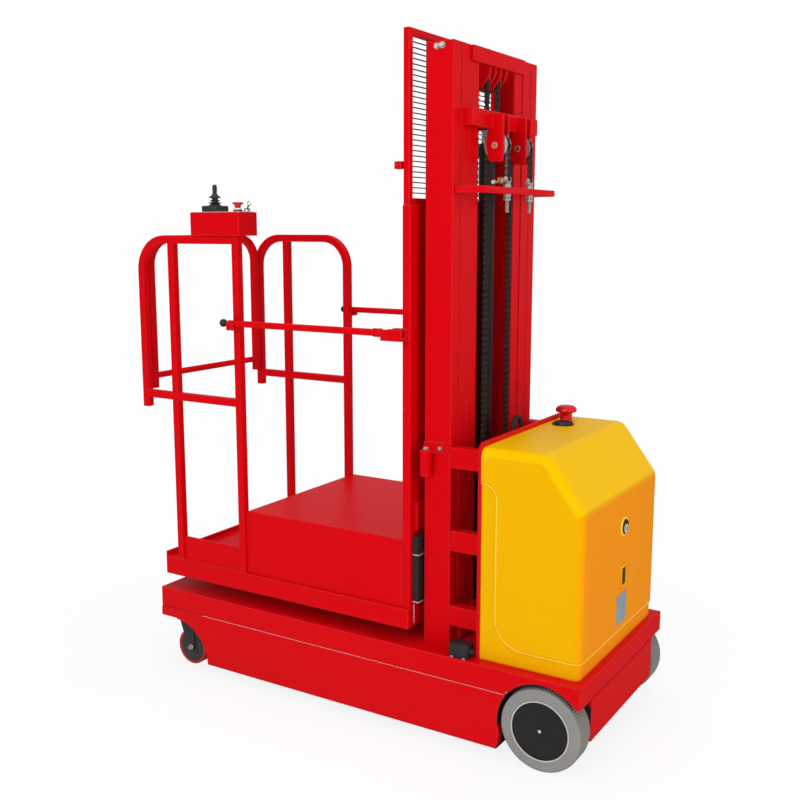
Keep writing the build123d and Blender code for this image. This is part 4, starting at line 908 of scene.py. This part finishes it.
make_piece("desk_plate", [soft_box((DESK_X, DESK_Y, DESK_Z + 0.9), (200, 82, 1.8), 0.8, 3)], "panel_cream",
           "platform")
make_piece("stick_block", [
    soft_box((STICK[0], STICK[1], DESK_Z + 11.5), (64, 64, 20), 5.0, 4),
    turned([(21, 20.5), (20, 23.5), (17.5, 25.5), (16.0, 26.0), (0, 26.0)], STICK, UP, 40),
], "black_plastic", "platform", stands_for=("joystick",))
for name, profile, centre, steps, finish, slot, stands_for in (
    ("stick_bellows", [
        (13.5, 25), (14.2, 27.5), (21.5, 31.0), (21.7, 32.4), (15.0, 32.2), (11.0, 33.5), (10.8, 35.4),
        (17.0, 38.4), (17.2, 39.8), (12.0, 39.6), (9.8, 41.0), (9.6, 44.6), (12.5, 46.6), (19.4, 46.4),
        (19.7, 47.8), (16.2, 51.0), (12.0, 54.4), (9.2, 57.6), (8.0, 60.0), (0, 60.0)],
     STICK, 36, "bellows_rubber", "black_plastic", ()),
    ("stick_grip", [(7.6, 58), (7.6, 60), (7.1, 61.0), (7.2, 66), (7.7, 74), (7.9, 80), (7.4, 84),
                    (5.9, 87.2), (3.6, 89.2), (0, 90.0)], STICK, 32, "black_plastic", None, ()),
    ("button_base", [(0, 0.6), (15.2, 0.6), (15.2, 6.4), (14.4, 7.4), (0, 7.4)], BUTTON, 36, "black_plastic",
     None, ()),
    ("button_collar", [(12.6, 7.0), (13.4, 7.4), (13.4, 12.6), (12.4, 13.4), (0, 13.4)], BUTTON, 36,
     "collar_white", "stop_red", ()),
    ("button_cap", [(8.8, 13.0), (9.0, 15.0), (10.2, 20.0), (12.6, 24.0), (16.8, 26.6), (17.9, 28.0),
                    (18.0, 29.4), (17.0, 31.0), (12.0, 32.0), (0, 32.0)], BUTTON, 40, "stop_red", None,
     ("console_stop",)),
    ("key_barrel", [(0, 0.6), (11.8, 0.6), (11.8, 2.6), (10.4, 3.6), (10.2, 9.6), (9.4, 10.6), (6.4, 10.8),
                    (6.2, 10.0), (0, 10.0)], KEY, 32, "zinc_steel", None, ("key_switch",)),
    ("key_ring_black", [(5.8, 10.4), (9.0, 10.4), (9.4, 11.4), (9.0, 12.6), (5.8, 12.6)], KEY, 28,
     "black_plastic", None, ()),
):
    lathe(name, profile, centre, UP, steps, finish, "platform", slot, stands_for=stands_for)

# the key lies in the plane of its lean and key_side: a flat stem, and a bow bent from wire
lean = np.array([-0.42, 0.0, 0.91])
key_side, key_low = np.cross(lean, (0, 1, 0)), np.array(KEY) + (0, 0, 9)
KEY_STEM, BOW_RADIUS = 16, 6.4
STEM_WIDE, STEM_THICK = 3.4, 1.1        # halves
stem = key_low + np.linspace(0, KEY_STEM, 4)[:, None] * lean
t = np.linspace(0, 2 * math.pi, 20, endpoint=False)[:, None]
bow = key_low + (21 + BOW_RADIUS * np.cos(t)) * lean + BOW_RADIUS * np.sin(t) * key_side
make_piece("key", [
    carried(stem, flat_section(STEM_THICK, STEM_WIDE), up=(0, 1, 0)),
    carried(bow, circle(1.7, 8), closed=True, up=(0, 1, 0)),
], "zinc_steel", "platform")

# %% [markdown]
# ## Anchors, chain wheels and mast fittings
#
# Each rear run ends in a fork on a threaded rod that is held by nuts and washers on both sides
# of its plate. The chain wheels are turned wheels with two flanges and a hub, and each axle
# shows a brass centre in a bright rim on both cheeks. Bolts, rings and a brass bracket fill
# the mast as in the photo.

# %% Chain anchors


def threaded(x, y, low, high, radius=6.0, pitch=3.0):
    """A rod with a ridge on every pitch: the radius falls back halfway between two crests."""
    z = np.arange(low, high, pitch / 2)
    radii = np.where(np.arange(len(z)) % 2, radius - 0.9, radius)
    return turned([(0, z[0])] + list(zip(radii, z)) + [(0, z[-1])], (x, y, 0), UP, 16)


def fork_lobe(x, z, radius, drop):
    """Side view of a fork's cheek: square foot, round head about the pin."""
    head = arc((x, z), radius, 0, 180, 12)
    return np.concatenate([[[x + radius, z - drop]], head, [[x - radius, z - drop]]])


def anchor(x, y, rod_low, plate_low, plate_high, joint_z):
    """One chain end: threaded rod; washers and nuts; fork with its cross pin."""
    rods = [threaded(x, y, rod_low, plate_high + 15)]
    nuts = [ring((x, y, plate_high), UP, 5, 11.5, 0, 2.2), ring((x, y, plate_low), DOWN, 5, 11.5, 0, 2.2),
            hex_head((x, y, plate_high + 2.2), UP, 19, 8.6), hex_head((x, y, plate_low - 2.2), DOWN, 19, 8.6),
            hex_head((x, y, plate_low - 12.6), DOWN, 19, 7.4)]
    fork = [soft_box((x, y, joint_z - 10.0), (11, 22, 6.4), 1.6)]
    fork += [plate(fork_lobe(x, joint_z, 6.4, 11.0), "xz", y + start, 2.8) for start in (-13.2, 10.4)]
    fork += [turned([(0, 13.0), (4.2, 13.0), (4.2, 14.4), (3.4, 15.0), (0, 15.0)], (x, y, joint_z),
                    (0, across, 0), 16) for across in (1, -1)]
    return rods, nuts, fork


for name, x, y, rod_low, plate_low, plate_high, body in (
    ("shelf_anchor", LOW_X - LOW_R, LOW_Y, 1582.0, 1636.0, 1655.0, "chassis"),
    ("push_anchor", HIGH_X - HIGH_R, HIGH_Y, 1807.0, 1827.0, 1847.0, "middle_mast"),
):
    ends = [anchor(x, side * y, rod_low, plate_low, plate_high, plate_high + 25.0) for _, side in SIDES]
    rods, nuts, forks = (left + right for left, right in zip(*ends))
    make_piece(name + "_rods", rods, "zinc_steel", body, stands_for=(name + "s",), smooth=30)
    make_piece(name + "_nuts", nuts, "zinc_steel", body, smooth=30)
    make_piece(name + "_forks", forks, "zinc_steel", body, smooth=35)

# %% Chain wheels and pins
CHEEK_OUT = 20.0       # outer face of a cheek, from the chain's middle
for name, cx, cz, y, pitch_radius, cad_name, body in (
    ("low_wheels", LOW_X, LOW_Z, LOW_Y, LOW_R, "middle_sheaves", "middle_mast"),
    ("high_wheels", HIGH_X, HIGH_Z, HIGH_Y, HIGH_R, "inner_sheaves", "inner_mast"),
):
    groove, flange = pitch_radius - 6.0, pitch_radius + 5.0
    half = [(7.2, 13.0), (14.0, 13.0), (15.0, 12.2), (15.5, 10.6), (groove - 5.0, 10.6), (groove - 3.5, 12.6),
            (flange - 1.2, 13.0), (flange, 12.0), (flange, 10.9), (flange - 1.0, 10.0), (groove + 0.6, 10.0),
            (groove, 9.4)]
    loop = half + [(r, -a) for r, a in half[::-1]] + [half[0]]
    wheels = [turned(loop, (cx, side * y, cz), (0, 1, 0), 56) for _, side in SIDES]
    make_piece(name, wheels, "sheave_white", body, stands_for=(cad_name,), smooth=28)
    ends = [((cx, side * y + across * CHEEK_OUT, cz), (0, across, 0))
            for _, side in SIDES for across in (1, -1)]
    for label, profile, finish, slot in (
        ("_pin_rims", [(6.4, 0), (9.6, 0), (9.6, 1.2), (8.6, 2.0), (7.2, 2.0), (6.4, 1.0), (6.4, 0)],
         "zinc_steel", None),
        ("_pin_centres", [(0, 1.1), (6.4, 1.1), (6.4, 0), (0, 0)], "brass", "zinc_steel"),
    ):
        make_piece(name + label, [turned(profile, face, axis, 28) for face, axis in ends], finish, body, slot,
                   smooth=30)

# level ties welded between the cheeks of the lower chain wheels
ties = [soft_box((LOW_X - 1.0, side * LOW_Y, 1732.6), (40, 27.6, 4.6), 1.0, 3) for _, side in SIDES]
make_piece("cheek_ties", ties, "red_paint", "middle_mast")

# weld beads where the cheeks meet the crosshead, as a row of overlapping scales
WELD_X, WELD_SIDES = -404.75, 8
WELD_LOW, WELD_HIGH, WELD_STEP = 1831.0, 1866.0, 1.6
z = np.arange(WELD_LOW, WELD_HIGH, WELD_STEP)
swell = np.stack([2.0 + 0.45 * np.cos(np.arange(len(z)) * math.pi), z], -1)
beads = []
for _, side in SIDES:
    for offset in (-CHEEK_OUT, CHEEK_OUT):
        points, faces = turned(swell, (WELD_X, side * LOW_Y + offset, 0), UP, WELD_SIDES, np.pi / 2)
        last = len(points)
        beads.append((points, faces + [list(range(WELD_SIDES)), list(range(last - WELD_SIDES, last))]))
make_piece("cheek_welds", beads, "red_paint", "middle_mast", smooth=60)

# %% Cylinder head, brass bracket and bolts of the mast
CYLINDER = (back(302), 0, 0)
make_piece("cylinder_head", [ring(CYLINDER, UP, 19.5, 28.5, 1752.0, 1784.0, 48, 1.5),
                             ring(CYLINDER, UP, 19.2, 24.0, 1784.0, 1790.5, 40, 1.2)],
           "cylinder_black", "chassis", smooth=30)
BRACKET_X, BRACKET_LOW = back(408), 1655.0
hook = np.array([(76, 0), (84, 0), (84, 16), (106, 16), (106, 9), (128, 9), (132, 13), (132, 27), (128, 30),
                 (80, 30), (76, 26)], float) * (1, 0.95) + (0, BRACKET_LOW)
make_piece("shelf_bracket", [plate(hook, "yz", BRACKET_X, 4.0)], "brass", "chassis", "zinc_steel")
shelf_bolts = [hex_head((BRACKET_X, y, BRACKET_LOW + z), REARWARD, 12, 6.5)
               for y, z in ((120, 17), (100, 22))]
bolt_end = (BRACKET_X + 6, 150, BRACKET_LOW + 13)
shelf_bolts += [turned([(0, 0), (3.4, 0), (3.4, 26), (0, 26)], bolt_end, (0, -1, 0), 14),
                hex_head(bolt_end, (0, 1, 0), 12, 7)]
make_piece("shelf_bolts", shelf_bolts, "zinc_steel", "chassis", smooth=30)
RAIL_OUT, LATCH_OUT, WASHER = 276.7, 18, 1.6
rail_bolts, latch_rings, latch_bolts = [], [], []
for _, side in SIDES:
    axis = (0, side, 0)
    for x, z in ((back(282), 2038.5), (back(299), 2040.5)):
        rail_bolts += [ring((x, side * RAIL_OUT, z), axis, 3, 9.2, 0, WASHER, 24),
                       hex_head((x, side * (RAIL_OUT + WASHER), z), axis, 13, 6.5)]
    barrel = (back(262), side * (RAIL_OUT + LATCH_OUT), 0)
    latch_rings += [ring(barrel, UP, 9.5, 18.6, low, high, 40, 1.5)
                    for low, high in ((880.0, 887.0), (807.0, 813.0))]
    latch_bolts += [turned([(0, 884.0), (8.4, 884.0), (9.4, 886.0), (9.4, 892.0), (8.2, 894.0), (0, 894.0)],
                           barrel, UP, 28), hex_head((back(306), side * (RAIL_OUT + 10), 893), axis, 11, 5)]
make_piece("rail_stop_bolts", rail_bolts, "zinc_steel", "chassis", smooth=30)
make_piece("latch_rings", latch_rings, "red_paint", "chassis", smooth=30)
make_piece("latch_bolts", latch_bolts, "zinc_steel", "chassis", smooth=30)

# %% [markdown]
# ## Fittings of the power unit
#
# On the cover stand a mushroom stop button and a black filler cap; its rear carries the lock,
# the charge socket in a yellow rim and a blank pale plate. A loop of hose comes up between
# the mast and the bulkhead.

# %% Stop button, cap, lock, socket, plate and hose
REAR_X, FITTINGS_Y = -810.75, -10.0
STOP_AT, CAP_AT = (-536.75, -200.0, COVER_TOP), (-551.75, -140.0, COVER_TOP)
LOCK_AT, BARREL_AT = (REAR_X, FITTINGS_Y, 653.0), (REAR_X, FITTINGS_Y, 647.0)
for name, profile, centre, axis, steps, finish, slot, stands_for, smooth in (
    ("cover_stop_knob", [
        (0, 0.2), (21.0, 0.2), (20.6, 3.0), (19.4, 8.0), (19.0, 22.0), (20.0, 27.0), (24.0, 30.0),
        (31.4, 31.6), (33.6, 34.0), (34.0, 37.6), (33.2, 41.8), (30.4, 46.0), (25.0, 49.6), (17.0, 51.6),
        (0, 52.0)],
     STOP_AT, UP, 56, "stop_red", None, ("cover_stop",), 50),
    ("filler_cap", [
        (0, 0.4), (35.0, 0.4), (35.0, 2.6), (33.6, 4.2), (30.4, 4.6), (30.0, 7.4), (28.6, 9.0),
        (25.0, 9.4), (22.4, 7.6), (20.0, 6.2), (0, 5.8)],
     CAP_AT, UP, 56, "black_plastic", None, ("cover_cap",), 35),
    ("lock_ring", [(22.4, 0), (30.0, 0), (30.0, 2.0), (28.4, 3.8), (24.0, 4.2), (22.4, 3.0), (22.4, 0)],
     LOCK_AT, REARWARD, 56, "line_yellow", "power_yellow", (), 40),
    ("lock_face", [(0, 0), (22.4, 0), (22.4, 6.0), (20.8, 7.6), (19.0, 7.4), (18.0, 5.4), (0, 5.2)],
     LOCK_AT, REARWARD, 48, "black_plastic", None, ("cover_lock",), 40),
    ("lock_barrel", [(0, 5.0), (15.0, 5.0), (15.0, 9.0), (13.4, 10.2), (0, 10.4)],
     BARREL_AT, REARWARD, 40, "rim_grey", "zinc_steel", (), 40),
):
    lathe(name, profile, centre, axis, steps, finish, "chassis", slot, stands_for=stands_for, smooth=smooth)
make_piece("lock_slot", [soft_box((REAR_X - 10.4, *BARREL_AT[1:]), (1.6, 2.6, 13.0), 0.5, 3)],
           "black_plastic", "chassis")


def rounded_loop(half_wide, half_high, radius, steps=6):
    """Corner-rounded rectangle about the origin."""
    corners = ((1, 1, 0), (-1, 1, 90), (-1, -1, 180), (1, -1, 270))
    wide, high = half_wide - radius, half_high - radius
    return np.concatenate([arc((wide * sx, high * sz), radius, start, start + 90, steps)
                           for sx, sz, start in corners])


def framed(centre_y, centre_z, outer, inner, proud):
    """A rounded frame on the cover's rear: outer wall, crowned front and inner wall in one band."""
    crown_out = (outer[0] - 1.4, outer[1] - 1.4, max(outer[2] - 1.4, 1))
    crown_in = tuple(size + 1.2 for size in inner)
    loops = [(outer, 0.0), (outer, proud - 1.4), (crown_out, proud), (crown_in, proud), (inner, proud - 1.2),
             (inner, 0.0)]
    rows = []
    for (wide, high, radius), out in loops:
        flat = rounded_loop(wide, high, radius)
        rows.append(np.column_stack([np.full(len(flat), REAR_X - out), flat + (centre_y, centre_z)]))
    return np.concatenate(rows), grid_faces(len(rows), len(flat), close_rows=True, close_columns=True)


SOCKET_Z, PLATE_Z = 498.0, 397.0
PIN_ROWS, PIN_COLUMNS = (-15.0, 0.0, 15.0), (-6.5, 6.5)
make_piece("socket_rim", [framed(FITTINGS_Y, SOCKET_Z, (23.5, 35.0, 6.0), (15.6, 27.0, 3.0), 6.5)],
           "power_yellow", "chassis")
socket_back = rounded_loop(15.4, 26.8, 3.0) + (FITTINGS_Y, SOCKET_Z)
socket_block = [plate(socket_back, "yz", REAR_X - 2.4, 2.4)]
socket_block += [soft_box((REAR_X - 3.4, FITTINGS_Y, SOCKET_Z + row), (3.6, 24.0, 9.6), 1.2, 3)
                 for row in PIN_ROWS]
make_piece("socket_block", socket_block, "black_plastic", "chassis", stands_for=("charge_socket",))
socket_pins = [turned([(0, 0), (2.6, 0), (2.6, 1.6), (1.6, 2.2), (0, 2.2)],
                      (REAR_X - 5.0, FITTINGS_Y + column, SOCKET_Z + row), REARWARD, 14)
               for row in PIN_ROWS for column in PIN_COLUMNS]
make_piece("socket_pins", socket_pins, "brass", "chassis", "zinc_steel", smooth=30)
label = rounded_loop(40.0, 46.0, 3.0) + (FITTINGS_Y, PLATE_Z)
make_piece("blank_plate", [plate(label, "yz", REAR_X - 1.2, 1.4)], "plate_blue", "chassis", "zinc_steel")
rivets = [turned([(0, 0), (2.6, 0), (2.3, 0.9), (1.2, 1.5), (0, 1.6)],
                 (REAR_X - 1.2, FITTINGS_Y + y, PLATE_Z + z), REARWARD, 14)
          for y in (-36, 36) for z in (-42, 42)]
make_piece("plate_rivets", rivets, "zinc_steel", "chassis", smooth=50)
HOSE_X = -474.0
t = np.linspace(0, math.pi, 24)
bend = np.stack([0 * t, 38 + 26 * np.cos(t), 940 + 22 * np.sin(t)], -1)
hose = np.concatenate([[[0, 64, 880], [0, 64, 905]], bend, [[0, 12, 905], [0, 12, 880]]]) + (HOSE_X, 0, 0)
make_piece("hose_loop", [carried(hose, circle(7.5, 14), up=(1, 0, 0))], "hose_rubber", "chassis",
           "black_plastic", smooth=60)

# %% [markdown]
# ## Limit switch, casters and the last trim
#
# The limit switch has a ridged lid, two silver feet and a round gland. The caster wheels turn
# on hexagon bolts. Clips hold the mesh guard and an orange ring marks each side bar. A curved
# liner closes the front of each wheel well and a flat one its inner side. Both are black, as
# painted shade in the well round the tyre.

# %% Limit switch
LIMIT_X, LIMIT_Y, LIMIT_Z = back(402), 322.0, 278.0
lid = [soft_box((LIMIT_X, LIMIT_Y, LIMIT_Z + 18.0), (62, 42, 35), 2.4)]
lid += [soft_box((LIMIT_X, LIMIT_Y, LIMIT_Z + 38.6),
                 (63.6 - 9 * step, 43.6 - 6 * step, 5.6 + 1.5 * step), 1.0, 3) for step in range(4)]
lid += [soft_box((LIMIT_X + x, LIMIT_Y, LIMIT_Z + 44.6), (6.0, 32.0, 3.4), 1.2, 3) for x in (-18, -6, 6, 18)]
lid.append(turned([(0, 0), (10.5, 0), (10.5, 3.0), (9.0, 4.0), (9.0, 10.6), (7.6, 12.0), (0, 12.0)],
                  (LIMIT_X - 31, LIMIT_Y, LIMIT_Z + 20), REARWARD, 32))
make_piece("limit_body", lid, "black_plastic", "chassis", stands_for=("limit_switch",), smooth=30)
feet = [soft_box((LIMIT_X + x, LIMIT_Y, LIMIT_Z + 1.6), (10, 47, 3.0), 0.8, 3) for x in (-20, 20)]
feet += [hex_head((LIMIT_X + x, LIMIT_Y + y, LIMIT_Z + 3), UP, 6, 3) for x in (-20, 20) for y in (-22, 22)]
make_piece("limit_feet", feet, "zinc_steel", "chassis", smooth=30)

# %% Caster bolts, wheel liners, fins, mesh clips, bar rings and pad strip
SWIVEL_X, ROLL_X, CASTER_Y, CASTER_Z = fore(715), fore(688), 300.0, 62.5
FORK_HALF, FORK_WASHER = 23.0, 1.8
for name, side in SIDES:
    centre_y = side * CASTER_Y
    bolts = []
    for across in (1, -1):
        face, axis = (ROLL_X, centre_y + across * FORK_HALF, CASTER_Z), (0, across, 0)
        bolts += [ring(face, axis, 3, 10.4, 0, FORK_WASHER, 24),
                  hex_head((face[0], face[1] + across * FORK_WASHER, face[2]), axis, 15, 6.2)]
    make_piece("caster_bolts_" + name, bolts, "zinc_steel", "caster_" + name, smooth=30)
    seal = [ring((SWIVEL_X, centre_y, 0), UP, 30, 42.5, 171.0, 175.4, 48, 1.2),
            ring((SWIVEL_X, centre_y, 0), UP, 30, 45.2, 176.8, 180.6, 48, 1.4)]
    make_piece("caster_race_" + name, seal, "zinc_steel", "caster_" + name, smooth=30)

# the liners take the black of the hubs: painted shade where the well lies in shadow
LINER_RADIUS, LINER_Y = 136.0, 306.5
LINER_THICK, LINER_WIDE = 0.7, 44.5     # halves
WELL_WALL_Y, WELL_WALL_THICK = 262.9, 1.0
edge = np.concatenate([[[AXLE_X + LINER_RADIUS, 35.0], [AXLE_X + LINER_RADIUS, 80.0]],
                       arc((AXLE_X, AXLE_Z), LINER_RADIUS, 0, 92, 30)])
wall = [(-828.0, 86.0), (-590.0, 86.0), (-590.0, 125.0), *arc((AXLE_X, AXLE_Z), 130.0, 10, 150, 16),
        (-828.0, 190.0)]
liners = []
for _, side in SIDES:
    path = np.stack([edge[:, 0], np.full(len(edge), side * LINER_Y), edge[:, 1]], -1)
    liners.append(carried(path, flat_section(LINER_THICK, LINER_WIDE), up=(0, 1, 0)))
    liners.append(plate(wall, "xz", side * WELL_WALL_Y - WELL_WALL_THICK / 2, WELL_WALL_THICK))
make_piece("well_liners_painted_shade", liners, "hub_black", "chassis", smooth=40)
make_piece("rear_seam", [soft_box((-829.9, 0, 214.0), (0.9, 520.0, 1.8), 0.4, 2)], "seam_dark", "chassis",
           "red_paint")

# fuller fins over the upper chain wheels, with the rounded rear edge of the photo
FIN_OUT, FIN_THICK = 17.0, 6.4
fin = np.array([(-251, 2048), (-338.6, 2048), (-338.6, 2010), (-337.4, 1994), (-334, 1982), (-328, 1973),
                (-321, 1965.5), (-314, 1956.5), (-309, 1949), (-272, 1949), (-251, 1967)]) + (MID_X, 0)
fins = [plate(fin, "xz", side * HIGH_Y + offset - FIN_THICK / 2, FIN_THICK)
        for _, side in SIDES for offset in (-FIN_OUT, FIN_OUT)]
make_piece("chain_fins", fins, "red_paint", "inner_mast")

clips = [soft_box((-212.0, side * 304.5, 1715.0), (24, 20, 22), 2.0, 3) for _, side in SIDES]
make_piece("mesh_clips", clips, "red_paint", "platform")
clip_bolts = [hex_head((-210.0, side * 314.5, 1715.0), (0, side, 0), 9, 3.4) for _, side in SIDES]
make_piece("mesh_clip_bolts", clip_bolts, "red_paint", "platform", "red_paint", smooth=30)

TIP_X, BAR_Y, BAR_Z = fore(452), 343.0, 1232.0
for name, side in SIDES:
    tip = (TIP_X, side * BAR_Y, BAR_Z)
    make_piece("bar_ring_" + name, [ring(tip, (1, 0, 0), 4.6, 7.4, 0.4, 7.6, 28, 1.2)], "ring_orange",
               "gate_" + name, "stop_red", smooth=40)
make_piece("pad_strip", [soft_box(centre, size, 0.7, 3) for centre, size in (
    ((-267.2, 281.0, 555.0), (21.6, 39.4, 3.4)), ((-267.2, 281.0, 405.0), (21.6, 39.4, 3.0)),
    ((-257.0, 292.0, 364.0), (2.4, 3.0, 60.0)))], "rim_grey", "platform", "zinc_steel")
